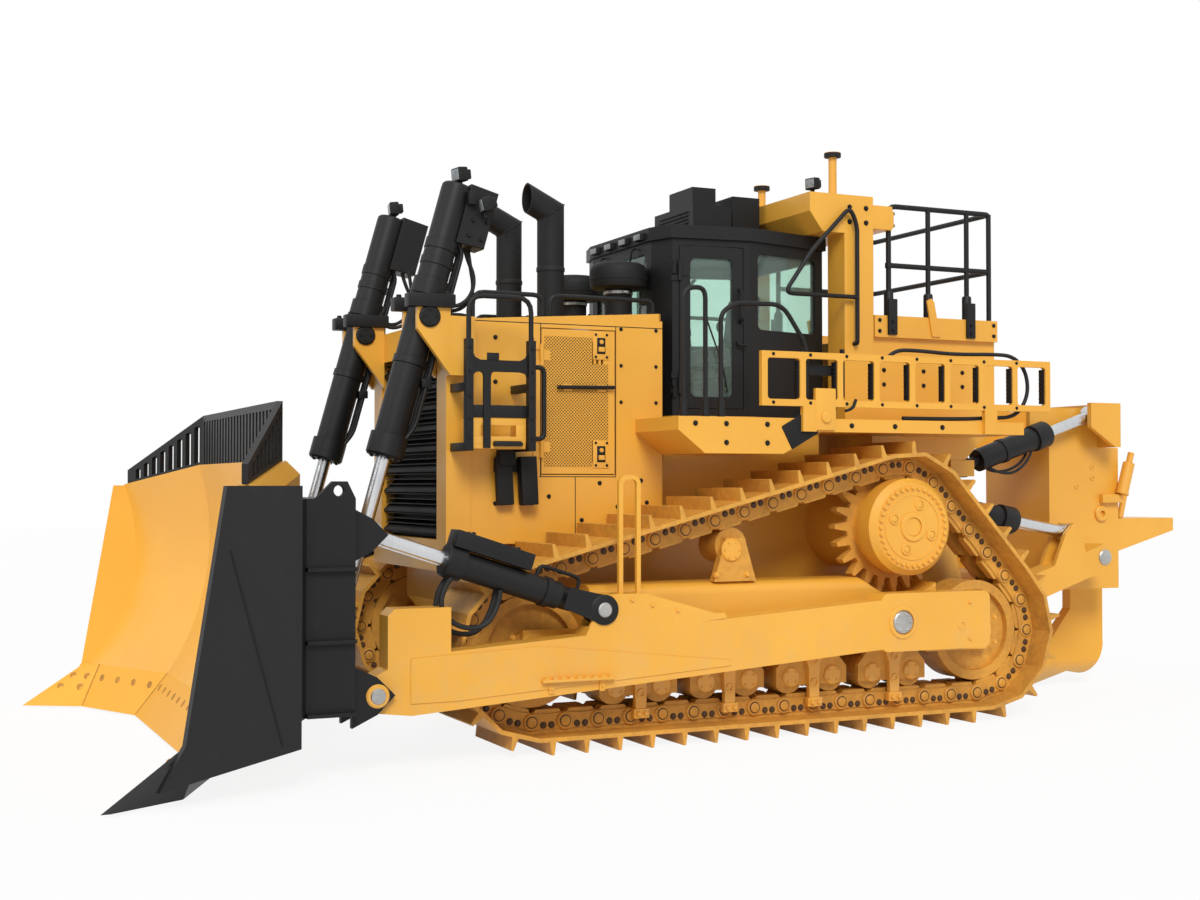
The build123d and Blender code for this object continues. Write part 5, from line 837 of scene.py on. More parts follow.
# engine doors: perforated sheet, latch plates, handle bar
doorSpec = {
    "rear": st(3.03), "front": st(3.555), "bottom": 2.025, "top": 3.005, "face": 0.88, "notch": (0.135, 0.20),
    "handle": (st(2.99), st(3.46), 2.625), "mounts": (st(3.09), st(3.37)), "latches": (2.12, 2.945)}
rear, front, bottom, top = (doorSpec[key] for key in ("rear", "front", "bottom", "top"))
wide, tall = doorSpec["notch"]
low, high, level = doorSpec["handle"]
inset = rear + wide
sheet = (
    (rear, bottom + tall), (inset, bottom + tall), (inset, bottom), (front, bottom),
    (front, top), (inset, top), (inset, top - tall), (rear, top - tall))
for side, sideName in bothSides:
    sheets, plates, fittings = Form(), Form(), Form()
    facing = (0, side, 0)
    face = side * doorSpec["face"]
    sheets.plate(sheet, face - side * 0.001, side * 0.005)
    for z in doorSpec["latches"]:
        plates.slab((rear - 0.01, face, z - 0.105), (inset - 0.006, face + side * 0.007, z + 0.105), 0.002)
        for x in (rear + 0.012, inset - 0.03):
            fittings.bolts([(x, face + side * 0.007, z + dz) for dz in (-0.085, 0.085)], 0.008, facing)
        fittings.slab((rear + 0.025, face, z - 0.062), (rear + 0.095, face + side * 0.010, z + 0.062), 0.004)
        plates.slab((rear + 0.035, face, z - 0.045), (rear + 0.085, face + side * 0.022, z - 0.008), 0.006)
        plates.cap((rear + 0.06, face + side * 0.009, z + 0.030), facing, 0.017, 0.010, 18)
    bar = ((low, 0.004), (low + 0.02, 0.004), (high - 0.02, -0.004), (high, -0.004))
    fittings.tube([(x, face + side * 0.030, level + dz) for x, dz in bar], 0.014, 12)
    for x in doorSpec["mounts"]:
        plates.slab((x - 0.035, face, level - 0.03), (x + 0.035, face + side * 0.014, level + 0.025), 0.003)
        clip = face + side * 0.034
        fittings.slab((x - 0.028, face, level - 0.012), (x + 0.028, clip, level + 0.012), 0.004)
    body = "engine_door_" + sideName
    sheets.piece("doorSheets." + sideName, body, "yellow_paint", doorMesh)
    plates.piece("doorPlates." + sideName, body, "yellow_paint", yellow)
    fittings.piece("doorFittings." + sideName, body, "black_paint", blackMatt)
print("engine doors dressed")

# hood and side panel bolts, yoke caps and seams
panelSpec = {
    "face": 0.88, "door": ((2.62, 2.92), (2.52, 2.80, 3.08)),
    "guard": ((3.66, 3.95, 4.20), (1.75, 2.20, 2.65, 2.98)),
    "skirt": (
        (2.70, 1.75), (2.95, 1.72), (3.25, 1.62), (3.52, 1.50), (3.52, 1.80), (3.10, 1.90), (2.75, 1.92)),
    "seams": (
        (2.565, 4.15, 3.095, 3.101), (2.965, 3.60, 1.945, 1.951), (2.962, 2.968, 1.95, 3.095),
        (3.585, 3.591, 1.95, 3.095), (3.30, 3.306, 1.42, 1.945))}


def hoodTop(ahead, height=3.215):  # the hood falls towards the front
    return height - 0.065 * (ahead - 2.565)


panels, yokes, seams = Form(), Form(), Form()
y = panelSpec["face"]
for key, size in (("door", 0.011), ("guard", 0.013)):
    stations, heights = panelSpec[key]
    panels.bolts([(st(ahead), y, z) for ahead in stations for z in heights], size)
panels.bolts([(st(ahead), y, z) for ahead, z in panelSpec["skirt"]], 0.013)
hoodLine = [2.66 + i * 0.17 for i in range(9)]
panels.bolts([(st(ahead), 0.845, hoodTop(ahead, 3.2166)) for ahead in hoodLine], 0.011, (0.065, 0, 1))
panels.pair("panelBolts", "tractor", "black_paint", blackMatt)
print("panel bolts set")

yokeSpec = {"x": (2.46, 2.82), "z": (3.165, 3.265), "y": ((0.925, 1.03), (0.59, 0.695))}
rear, front = yokeSpec["x"]
low, high = yokeSpec["z"]
for inner, outer in yokeSpec["y"]:
    yokes.slab((rear, inner, low), (front, outer, high), 0.012)
    yokes.bolts([(x, (inner + outer) / 2, high) for x in (rear + 0.05, front - 0.05)], 0.020, up)
yokes.pair("yokeCaps", "tractor", "black_paint", black)
for rear, front, low, high in panelSpec["seams"]:
    seams.slab((st(rear), y, low), (st(front), y + 0.0012, high), 0)
seams.pair("panelSeams", "tractor", "black_paint", blackMatt)

# front steps: hooks, loop handle, step box and mud flaps
stepSpec = {
    "front": 2.43, "rear": 1.95, "y": 1.21, "bottom": 2.13, "postTop": 2.93, "top": 3.24, "tube": 0.018,
    "roots": (0.895, 0.875), "arms": (2.13, 2.56), "bolts": (2.22, 2.36, 2.52, 2.70, 2.87),
    "loop": (1.848, 2.22, 2.74),
    "frame": (
        (2.40, 2.84), (2.385, 2.80), (2.345, 2.78), (2.035, 2.78), (1.995, 2.80), (1.98, 2.84), (1.98, 2.66),
        (1.995, 2.69), (2.035, 2.70), (2.235, 2.70), (2.258, 2.69), (2.265, 2.665), (2.265, 2.15),
        (2.318, 2.15), (2.318, 2.665), (2.325, 2.69), (2.35, 2.70), (2.385, 2.69), (2.40, 2.66)),
    "boxX": (1.985, 2.395), "teeth": 9}
y = stepSpec["y"]
front, rear, bottom, postTop = (stepSpec[key] for key in ("front", "rear", "bottom", "postTop"))
steps, stepBox, flaps = Form(), Form(), Form()
for x, root in zip((front, rear), stepSpec["roots"]):
    steps.slab((x - 0.028, y + 0.014, bottom), (x + 0.028, y + 0.030, postTop), 0.004)
    for edge in (x - 0.024, x + 0.024):
        steps.slab((edge - 0.004, y - 0.030, bottom), (edge + 0.004, y + 0.020, postTop), 0.002)
    for z in stepSpec["arms"]:
        steps.slab((x - 0.030, root, z), (x + 0.030, y, z + 0.060), 0.006)
    steps.bolts([(x, y + 0.030, z) for z in stepSpec["bolts"]], 0.010)
hoop = ((front, 2.90), (front, stepSpec["top"]), (rear, stepSpec["top"]), (rear, 2.90))
steps.bent([(x, y, z) for x, z in hoop], stepSpec["tube"], 0.11, 14)
loopX, loopLow, loopHigh = stepSpec["loop"]
loop = ((rear, loopHigh), (loopX, loopHigh), (loopX, loopLow), (rear, loopLow))
steps.bent([(x, y, z) for x, z in loop], stepSpec["tube"], 0.06, 14)
steps.plate(stepSpec["frame"], y - 0.008, 0.018, 0.002)
steps.slab((2.20, y - 0.008, 2.775), (2.29, y + 0.010, 2.835), 0.004)
steps.slab((1.975, y - 0.022, 2.37), (2.405, y - 0.004, 2.46), 0.005)
steps.slab((2.02, y - 0.02, 2.165), (2.24, y + 0.028, 2.195), 0.010)
for i in range(stepSpec["teeth"]):
    x = 2.032 + i * 0.024
    steps.slab((x, y - 0.015, 2.192), (x + 0.010, y + 0.022, 2.202), 0.002)
stepPosts = steps.piece("stepFittings", "tractor", "black_paint", black)
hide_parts("front_steps")
boxRear, boxFront = stepSpec["boxX"]
stepBox.slab((boxRear, y - 0.27, 2.145), (boxFront, y - 0.015, 2.175), 0.006)
for rear, front, low, high in (
        (boxRear, boxFront, 2.17, 2.235), (boxRear, boxFront, 2.315, 2.37), (boxRear, 2.06, 2.23, 2.32),
        (2.33, boxFront, 2.23, 2.32)):
    stepBox.slab((rear, y - 0.030, low), (front, y - 0.014, high), 0.003)
for x in (boxRear, boxFront - 0.015):
    stepBox.slab((x, y - 0.27, 2.16), (x + 0.015, y - 0.02, 2.36), 0.004)
stepBox.piece("stepBox", "tractor", "yellow_paint", yellow)
for x, deep in ((1.995, 0.05), (1.815, 0.09)):
    flaps.slab((x, y - 0.30, 1.74), (x + 0.13, y - 0.30 + deep, 2.10), 0.012, (0.05, (0, 1, 0)), (x, y, 2.1))
flaps.slab((1.83, y - 0.315, 1.98), (2.12, y - 0.285, 2.08), 0.006)
flaps.slab((1.97, y - 0.315, 2.03), (2.10, y - 0.24, 2.16), 0.008)
flaps.piece("mudStep", "tractor", "black_paint", blackMatt)
print("front steps dressed")

# cab: door fittings, roof lamps, wipers and levers
cabSpec = {
    "roofFront": st(2.525), "roofLamps": (-0.42, -0.14, 0.14, 0.42), "louvres": 6,
    "doorFront": (2.43, 0.79), "doorRear": (1.78, 0.88), "hinges": (2.62, 3.60),
    "handle": ((0.86, 0.008, 3.44), (0.86, 0.055, 3.42), (0.86, 0.055, 3.20), (0.86, 0.008, 3.18)),
    "lever": ((0.83, 0.012, 3.02), (0.83, 0.040, 3.00), (0.93, 0.040, 2.99)),
    "wiper": ((0.70, 0.012, 2.62), (0.62, 0.026, 2.85), (0.42, 0.026, 3.20))}


def wallPoint(share, off, z, side):  # along a door wall from its front corner, off the wall by off
    (fx, fy), (rx, ry) = cabSpec["doorFront"], cabSpec["doorRear"]
    way = Vector((rx - fx, ry - fy, 0)).normalized()
    away = Vector((-way.y, way.x, 0)) * (1 if way.x > 0 else -1)
    spot = Vector((st(fx + (rx - fx) * share), fy + (ry - fy) * share, z)) + away * off
    return Vector((spot.x, side * spot.y, spot.z))


for side, sideName in bothSides:
    fit = Form()
    for key, radius in (("handle", 0.014), ("lever", 0.011), ("wiper", 0.007)):
        fit.bent([wallPoint(*place, side) for place in cabSpec[key]], radius, 0.03)
    for z in cabSpec["hinges"]:
        fit.lathe(wallPoint(0.02, 0.01, z - 0.05, side), up, [(0.018, 0), (0.018, 0.10)], 14)
    fit.piece("doorFit." + sideName, "cab_door_" + sideName, "black_paint", blackMatt)
roof, reflectors, inside = Form(), Form(), Form()
front = cabSpec["roofFront"]
for y in cabSpec["roofLamps"]:
    roof.slab((front - 0.01, y - 0.07, 3.845), (front + 0.035, y + 0.07, 3.905), 0.010)
    reflectors.slab((front + 0.033, y - 0.055, 3.853), (front + 0.040, y + 0.055, 3.897), 0.004)
for y in (-0.30, 0.30):
    roof.bent([(st(2.508), y, 3.80), (st(2.545), y, 3.79), (st(2.545), y * 0.4, 3.30)], 0.008, 0.03)
boxLow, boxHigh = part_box("roof_boxes")
for i in range(cabSpec["louvres"]):
    z = 3.99 + i * 0.03
    roof.slab((boxHigh.x - 0.005, -0.26, z), (boxHigh.x + 0.012, 0.26, z + 0.012), 0.003)
boxBolts = (boxLow.x + 0.05, boxLow.x + 0.25, boxHigh.x - 0.25, boxHigh.x - 0.05)
roof.bolts([(x, 0.35, 3.97) for x in boxBolts], 0.012)
roof.piece("roofTrim", "tractor", "black_paint", blackMatt)
reflectors.piece("roofLamps", "tractor", "tinted_glass", lens)
for y in (-0.25, 0.25):
    inside.bent([(st(2.24), y, 3.02), (st(2.16), y, 3.12), (st(2.10), y, 3.16)], 0.014, 0.04)
inside.slab((st(2.27), -0.16, 3.06), (st(2.305), 0.16, 3.26), 0.012)
inside.bent([(st(2.29), 0.0, 2.98), (st(2.29), 0.0, 3.10)], 0.02, 0.02)
inside.lathe((st(2.26), 0.30, 3.051), (-0.4, 0, 1), [(0.05, 0), (0.05, 0.012), (0.044, 0.018)], 20)
inside.piece("dashFittings", "tractor", "cab_trim", trim)
print("cab dressed")

# protective frame: bolts, boxes and breather caps
frameSpec = {
    "half": 0.95, "bolts": (((0.72, 0.88), (4.04, 4.16)), ((1.03, 1.20), (2.52, 2.62))),
    "breathers": ((0.75, 0.50, 4.70), (0.90, -0.42, 4.56))}
frameBolts, boxes, breathers = Form(), Form(), Form()
for stations, heights in frameSpec["bolts"]:
    frameBolts.bolts([(st(ahead), frameSpec["half"], z) for z in heights for ahead in stations], 0.016)
frameBolts.bolts([(st(0.40), y, z) for z in (4.05, 4.15) for y in (0.66, 0.87)], 0.014, (-1, 0, 0))
boxes.slab((st(0.44), 0.60, 4.00), (st(0.655), 0.93, 4.20), 0.012)
boxes.slab((st(0.40), 0.64, 4.03), (st(0.445), 0.89, 4.17), 0.006)
frameBolts.pair("frameBolts", "tractor", "black_paint", blackMatt)
boxes.pair("frameBoxes", "tractor", "yellow_paint", yellow)
for ahead, y, top in frameSpec["breathers"]:
    lid = [(0.036, 0), (0.0715, 0.002), (0.0715, 0.036), (0.060, 0.0395)]
    breathers.lathe((st(ahead), y, top - 0.040), up, lid, 24)
    breathers.lathe((st(ahead), y, 4.262), up, [(0.062, 0), (0.062, 0.014), (0.050, 0.020)], 24)
breathers.piece("breatherCaps", "tractor", "black_paint", blackMatt)

# rear deck: post sleeves, clamps, bracket and tank fittings
deckSpec = {
    "post": 0.88, "beam": 0.925, "top": 3.29, "stations": (0.45, 0.05, -0.35), "clamps": (0.45, -0.35),
    "topRail": 4.21, "midRail": 3.715, "near": st(0.45), "far": st(-0.60), "posts": (0.05, -0.35, -0.585),
    "tube": 0.022}
post, beam = deckSpec["post"], deckSpec["beam"]
deck, bracket, tank = Form(), Form(), Form()
sleeve = [(0.040, 0), (0.040, 0.190), (0.034, 0.205), (0.0225, 0.206)]
for ahead in deckSpec["stations"]:
    deck.lathe((st(ahead), post, deckSpec["top"] - 0.002), up, sleeve, 18)
for x in (st(ahead) for ahead in deckSpec["clamps"]):
    deck.slab((x - 0.045, beam - 0.002, 3.13), (x + 0.045, beam + 0.022, 3.43), 0.008)
    deck.bolts([(x, beam + 0.022, z) for z in (3.17, 3.24)], 0.013)
deck.bolts([(st(ahead), beam, z) for z in (3.16, 3.25) for ahead in (0.57, -0.60)], 0.013)
deck.pair("postSleeves", "tractor", "black_paint", black)
hook = ((-0.06, 0, 0), (0.02, 0, 0), (0.075, 0, 0.30), (0.03, 0, 0.32), (0.0, 0, 0.29))
bracket.prism(hook, (st(0.03), beam - 0.001, 3.13), (0, 0.018, 0), 0.002)
bracket.pair("deckBrackets", "tractor", "yellow_paint", yellow)
tank.bolts([(st(ahead), 0.88, z) for ahead in (0.50, 0.10, -0.30) for z in (2.72, 2.84)], 0.014)
tank.lathe((st(-0.25), 0.30, 3.108), up, [(0.10, 0), (0.10, 0.03), (0.085, 0.05), (0.03, 0.058)], 28)
tank.lathe((st(0.30), -0.35, 3.108), up, [(0.13, 0), (0.13, 0.02), (0.12, 0.03)], 28)
tank.piece("tankFittings", "tractor", "black_paint", blackMatt)
print("rear deck dressed")

# ladder: bars, pivot and actuator, with the fender's bolts
ladderSpec = {
    "bars": ((1.71, 0.045), (1.36, 0.03)), "bolts": 8, "first": st(2.02), "pitch": 0.325,
    "rails": (2.505, 2.868)}
fenderSpec = {
    "face": 1.60, "upper": 2.34, "lower": 2.20, "bolts": (2.66, 2.40, 2.05, 1.30, 0.90, 0.45, 0.0),
    "twins": (2.40, 2.05)}
rungs, pivot, fenders = Form(), Form(), Form()
for ahead, wide in ladderSpec["bars"]:
    rungs.slab((st(ahead) - wide / 2, 1.545, 2.56), (st(ahead) + wide / 2, 1.575, 2.93), 0.006)
rungs.slab((st(1.36), 1.555, 2.72), (st(1.71), 1.575, 2.80), 0.006)
rungs.bent([(st(1.39), 1.645, 2.45), (st(1.33), 1.66, 2.47), (st(1.30), 1.66, 2.54)], 0.012, 0.03)
rungs.slab((st(1.63), 1.50, 2.20), (st(1.90), 1.61, 2.40), 0.015, (0.5, (0, 1, 0)), (st(1.77), 1.55, 2.30))
actuator = [(0.030, 0), (0.030, 0.10), (0.018, 0.11), (0.018, 0.17)]
rungs.lathe((st(1.66), 1.56, 2.36), (-0.62, 0, 0.5), actuator, 16)
for i in range(ladderSpec["bolts"]):
    x = ladderSpec["first"] - i * ladderSpec["pitch"]
    rungs.bolts([(x, 1.64, z) for z in ladderSpec["rails"]], 0.010)
rungs.piece("ladderFittings", "tractor", "black_paint", blackMatt)
pivot.slab((st(1.47), 1.60, 2.30), (st(1.65), 1.645, 2.62), 0.010)
pivot.cap((st(1.56), 1.645, 2.40), out, 0.045, 0.020)
pivot.piece("ladderPivot", "tractor", "yellow_paint", yellow)
for key, height in (("bolts", "upper"), ("twins", "lower")):
    fenders.bolts([(st(ahead), fenderSpec["face"], fenderSpec[height]) for ahead in fenderSpec[key]], 0.015)
fenders.pair("fenderBolts", "tractor", "black_paint", blackMatt)
print("ladder and fenders dressed")

# air intakes and exhaust stacks on the hood
intakeSpec = {
    "x": st(2.735), "y": 0.443, "neck": 0.110, "base": 3.17, "under": 3.44, "band": 3.40, "drum": 0.23}
intakes, bands = Form(), Form()
x, y, neck, drum = (intakeSpec[key] for key in ("x", "y", "neck", "drum"))
intakes.lathe((x, y, intakeSpec["under"]), up, [
    (0.12, 0), (drum - 0.030, 0.002), (drum - 0.010, 0.014), (drum, 0.040), (drum, 0.135),
    (drum - 0.006, 0.165), (drum - 0.022, 0.190), (drum - 0.050, 0.206), (drum - 0.10, 0.213),
    (0.03, 0.215)], 48)
intakes.lathe((x, y, intakeSpec["base"]), up, [(0.125, 0), (0.125, 0.05), (neck, 0.06), (neck, 0.275)], 36)
intakes.ring((x, y, intakeSpec["under"] + 0.075), up, drum - 0.004, drum + 0.004, 0.010, 48)
band = [(0.112, 0), (0.117, 0.003), (0.117, 0.025), (0.112, 0.028)]
bands.lathe((x, y, intakeSpec["band"]), up, band, 32, 0.108)
bands.slab((x - 0.02, y + 0.112, 3.403), (x + 0.02, y + 0.134, 3.425), 0.004)
intakeDrums = intakes.pair("intakeDrums", "tractor", "black_paint", blackMatt)
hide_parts("precleaners")
bands.pair("intakeBands", "tractor", "wear_steel", steel)

stackSpec = {
    "x": st(3.322), "y": 0.443, "radius": 0.106, "wall": 0.010, "base": 3.14, "elbow": 4.02, "tilt": 26,
    "mouth": 0.200, "collars": ((3.165, 0.150), (3.55, 0.112))}
x, y, outer, tilt = (stackSpec[key] for key in ("x", "y", "radius", "tilt"))
inner = outer - stackSpec["wall"]
elbow = Vector((x, y, stackSpec["elbow"]))
lean = math.radians(tilt)
mitre = (Vector(up) + Vector((math.cos(lean), 0, math.sin(lean)))).normalized()


def stackRing(radius, degrees, cut):  # ring on a pipe at that slope, where cut gives the travel along it
    slope = math.radians(degrees)
    axis, rise = Vector((math.cos(slope), 0, math.sin(slope))), Vector((-math.sin(slope), 0, math.cos(slope)))
    spots = []
    for i in range(40):
        off = Vector((0, math.cos(math.pi * i / 20), 0)) * radius + rise * math.sin(math.pi * i / 20) * radius
        spots.append(elbow + off + axis * cut(off))
    return spots


def mouthCut(off):  # the mouth stands upright
    return (stackSpec["mouth"] - off.x) / math.cos(lean)


stacks = Form()
joint = stackRing(outer, 90, lambda off: -mitre.dot(off) / mitre.z)
stacks.grid([
    stackRing(outer, 90, lambda off: stackSpec["base"] - stackSpec["elbow"]),
    stackRing(outer, 90, lambda off: -0.16), joint,
    stackRing(outer, tilt, mouthCut), stackRing(inner, tilt, mouthCut),
    stackRing(inner * 0.98, tilt, lambda off: 0.02 - off.x * 0.5)])
for z, wide in stackSpec["collars"]:
    stacks.lathe((x, y, z), up, [(outer, 0), (wide, 0.003), (wide, 0.030), (outer, 0.040)], 36, outer - 0.004)
stacks.tube([p + (p - elbow) * 0.01 for p in joint], 0.005, 6)
stackPipes = stacks.pair("stackPipes", "tractor", "black_paint", blackMatt)
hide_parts("exhaust_stacks")
print("hood dressed")

# ripper: pin caps, pin puller and lifting posts
ripperSpec = {"side": 0.45, "pin": (st(-1.88), 1.24), "bosses": ((-2.10, 2.05), (-2.10, 1.95), (-1.92, 1.87))}
pinCaps, puller = Form(), Form()
pinCaps.cap((ripperSpec["pin"][0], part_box("ripper_pins")[1].y, ripperSpec["pin"][1]), out, 0.070, 0.016, 28)
pinCaps.pair("ripperPinCaps", "ripper_pins", "wear_steel", steel)
y = ripperSpec["side"]
barrel = [(0.055, 0), (0.055, 0.30), (0.030, 0.31), (0.030, 0.40)]
puller.lathe((st(-2.40), y + 0.06, 1.80), (-0.30, 0, 1), barrel, 18)
puller.slab((st(-2.42), y - 0.002, 1.72), (st(-2.18), y + 0.055, 1.80), 0.010)
puller.ring((st(-2.20), y, 1.62), out, 0.030, 0.075, 0.028)
for ahead, z in ripperSpec["bosses"]:
    puller.ring((st(ahead), y, z), out, 0.012, 0.026, 0.008, 16)
liftPost = [(0.030, 0), (0.030, 0.22), (0.042, 0.225), (0.042, 0.25)]
for y in (0.20, -0.20):
    puller.lathe((st(-2.66), y, 1.571), (-0.25, 0, 1), liftPost, 16)
puller.piece("pinPuller", "ripper_carriage", "yellow_paint", yellow)
print("ripper dressed")

# blade: edge bolts, weld beads and a fold on the end plates
bladeSpec = {
    "kink": ((st(5.944), 1.29, 0.365), (st(6.171), 1.478, 0.015)),
    "wing": ((st(6.3527), 2.208, 0.365), (st(6.496), 2.208, 0.015)),
    "bit": ((st(6.4516), 2.38, 0.365), (st(6.95), 2.47, 0.015)),
    "fold": ((6.20, 1.50), (5.86, 0.30))}
boltHead = [(0.030, -0.003), (0.030, 0.002), (0.020, 0.0045), (0.019, 0.0015), (0.010, 0.0012)]
plates, folds = Form(), Form()


def edgeSpot(key, side):  # rim and tip of the cutting edge on a side
    return [Vector((x, side * y, z)) for x, y, z in bladeSpec[key]]


def edgeBolts(first, second, count, shares):
    (rimA, tipA), (rimB, tipB) = first, second
    normal = (tipB - tipA).cross(rimA - tipA).normalized()
    if normal.x < 0:
        normal = -normal
    for i in range(count):
        t = (i + 0.5) / count
        for share in shares:
            plates.lathe(rimA.lerp(rimB, t).lerp(tipA.lerp(tipB, t), share), normal, boltHead, 18)


edgeBolts(edgeSpot("kink", -1), edgeSpot("kink", 1), 13, (0.30,))
for side in (1, -1):
    kink, wing, bit = (edgeSpot(key, side) for key in ("kink", "wing", "bit"))
    edgeBolts(kink, wing, 4, (0.30,))
    edgeBolts(wing, bit, 2, (0.30, 0.55))
    for rimSpot, tipSpot in (kink, wing):
        plates.tube([rimSpot, rimSpot.lerp(tipSpot, 0.98)], 0.006, 8)
plates.piece("edgeBolts", "blade", "yellow_paint", edgeDark)


def skinAt(node, x, z):  # outermost place of a node's left side at x and z
    hit, spot, _, _ = nodes[node].ray_cast(Vector((x, 4.0, z)), Vector((0, -1, 0)))
    return spot if hit else Vector((x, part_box(node)[1].y, z))


(topAhead, topZ), (lowAhead, lowZ) = bladeSpec["fold"]
shares = (0, 0.25, 0.5, 0.75, 1)
fold = [(st(topAhead + (lowAhead - topAhead) * t), topZ + (lowZ - topZ) * t) for t in shares]
folds.tube([skinAt("blade_ends", x, z) for x, z in fold], 0.007, 8)
folds.pair("endPlateCreases", "blade", "black_paint", black)
print("blade trim set")

# ripper cylinders: glands, collars and bolts
tiltSpec = {"y": 0.56, "pin": (st(-0.52), 2.04), "way": (-0.95122, 0.3085), "length": 1.0}
ripSpec = {"y": 0.75, "pin": (st(0.30), 1.80), "eye": (st(-1.53), 1.46), "length": 1.26}
reach = [end - start for start, end in zip(ripSpec["pin"], ripSpec["eye"])]
ripReach = math.hypot(*reach)
ripSpec["way"] = (reach[0] / ripReach, reach[1] / ripReach)
tiltRam, ripRam = Ram(tiltSpec), Ram(ripSpec)
gland = [(0.101, 0), (0.120, 0.006), (0.120, 0.150), (0.110, 0.168), (0.062, 0.1685)]
band = [(0.101, 0), (0.109, 0.004), (0.109, 0.05), (0.101, 0.055)]
for spec, ram, body in ((tiltSpec, tiltRam, "ripper_tilt_barrels"), (ripSpec, ripRam, "ripper_lift_barrels")):
    length = spec["length"]
    glands = Form()
    glands.lathe(ram.at(length - 0.170), ram.way, gland, 30, 0.056)
    glands.lathe(ram.at(length * 0.45), ram.way, band, 30, 0.097)
    glands.boltRing(ram.at(length - 0.009), ram.way, 0.092, 8, 0.011, math.pi / 8)
    glands.pair("glands." + body, body, "black_paint", black)
print("ripper cylinders dressed")

# hoses that leave a piece and go back into it
hoseSpec = {
    "liftSteps": (-0.10, -0.052), "liftSize": 0.030, "braceSteps": (-0.045, 0.045), "braceSize": 0.036,
    "tiltSteps": (-0.03, 0.03), "tiltSize": 0.026, "ladderSize": 0.032,
    "liftRoutes": (  # travel and back of the points between a hose's ends
        ((-0.535, 0.275), (-0.34, 0.37), (-0.18, 0.315), (-0.12, 0.165)),
        ((-0.56, 0.22), (-0.43, 0.335), (-0.26, 0.335), (-0.15, 0.21))),
    "ladder": (
        (0.98, 1.588, 2.85), (0.90, 1.57, 2.94), (0.65, 1.56, 2.945), (0.30, 1.56, 2.925),
        (-0.08, 1.56, 2.94), (-0.29, 1.56, 2.933), (-0.42, 1.56, 2.81), (-0.44, 1.56, 2.61),
        (-0.31, 1.56, 2.435), (-0.05, 1.555, 2.425), (0.30, 1.56, 2.408), (0.80, 1.56, 2.408))}


def hose(name, body, points, diameter, finish):
    curve = bpy.data.curves.new(name, "CURVE")
    curve.dimensions = "3D"
    spline = curve.splines.new("NURBS")
    spline.points.add(len(points) - 1)
    for point, place in zip(spline.points, points):
        point.co = (*place, 1.0)
    spline.order_u = 3
    spline.use_endpoint_u = True
    curve.resolution_u = 10
    line = bpy.data.objects.new(name, curve)
    scene.collection.objects.link(line)
    bpy.context.view_layer.update()
    path = bpy.data.meshes.new_from_object(line)
    ends = [[path.vertices[i].co for i in edge.vertices] for edge in path.edges]
    length = sum((a - b).length for a, b in ends)
    bpy.data.meshes.remove(path)
    curve.bevel_depth = diameter / 2
    curve.bevel_resolution = 3
    curve.use_fill_caps = True
    curve.materials.append(finish)
    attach(line, body)
    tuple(points[0])
    return length


hoseLengths = []
for side, sideName in bothSides:
    for number, off in enumerate(hoseSpec["liftSteps"]):
        name = "liftHose%d.%s" % (number, sideName)
        y = side * (lift.y + off)
        barrelBack = math.sqrt(0.127 ** 2 - off ** 2)
        route = ((-0.64, 0.23 - 0.05 * number), *hoseSpec["liftRoutes"][number], (-0.18, barrelBack))
        sag = [lift.at(travel, back, y) for travel, back in route]
        hoseLengths.append(hose(name, "lift_barrels", sag, hoseSpec["liftSize"], hoseRubber))
    for number, off in enumerate(hoseSpec["braceSteps"]):
        name = "braceHose%d.%s" % (number, sideName)
        y = side * (brace.y + off)
        drop = 0.30 - 0.05 * number
        route = ((1.12, -0.105), (1.16, -0.20), (1.12, -0.10 - drop), (0.95, -0.16 - drop),
                 (0.78, -0.10 - drop), (0.74, -0.18), (0.76, -0.085))
        hang = [brace.at(travel, height, y) for travel, height in route]
        hoseLengths.append(hose(name, "brace_barrels", hang, hoseSpec["braceSize"], springHose))
    for number, off in enumerate(hoseSpec["tiltSteps"]):
        name = "tiltHose%d.%s" % (number, sideName)
        y = side * (tiltRam.y + off)
        route = ((0.28, -0.088), (0.33, -0.15), (0.52, -0.20 - 0.03 * number), (0.72, -0.16), (0.77, -0.088))
        run = [tiltRam.at(travel, height, y) for travel, height in route]
        hoseLengths.append(hose(name, "ripper_tilt_barrels", run, hoseSpec["tiltSize"], hoseRubber))
ladderLine = [(st(ahead), y, z) for ahead, y, z in hoseSpec["ladder"]]
hoseLengths.append(hose("ladderHose", "tractor", ladderLine, hoseSpec["ladderSize"], hoseRubber))
print("hoses:", len(hoseLengths), "of", ", ".join("%.2f" % length for length in hoseLengths), "m")

# polished skins over the rods
rodSpec = {"radius": 0.0525, "sides": 48, "eye": 0.088}
tiltFar = (tiltSpec["pin"][0] - (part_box("ripper_tilt_rods")[0].x + 0.085)) / -tiltSpec["way"][0]
for body, ram, start, end in (
        ("lift_rods", lift, 0.30, 2.13), ("brace_rods", brace, 0.72, 1.64),
        ("ripper_lift_rods", ripRam, 0.65, ripReach - rodSpec["eye"]),
        ("ripper_tilt_rods", tiltRam, 0.58, tiltFar - rodSpec["eye"])):
    rod = Form()
    profile = [(rodSpec["radius"], (end - start) * share) for share in (0, 0.5, 1)]
    rod.lathe(ram.at(start), ram.way, profile, rodSpec["sides"])
    rod.pair("rodSkins." + body, body, "chrome_rod", chrome)
print("rods skinned")

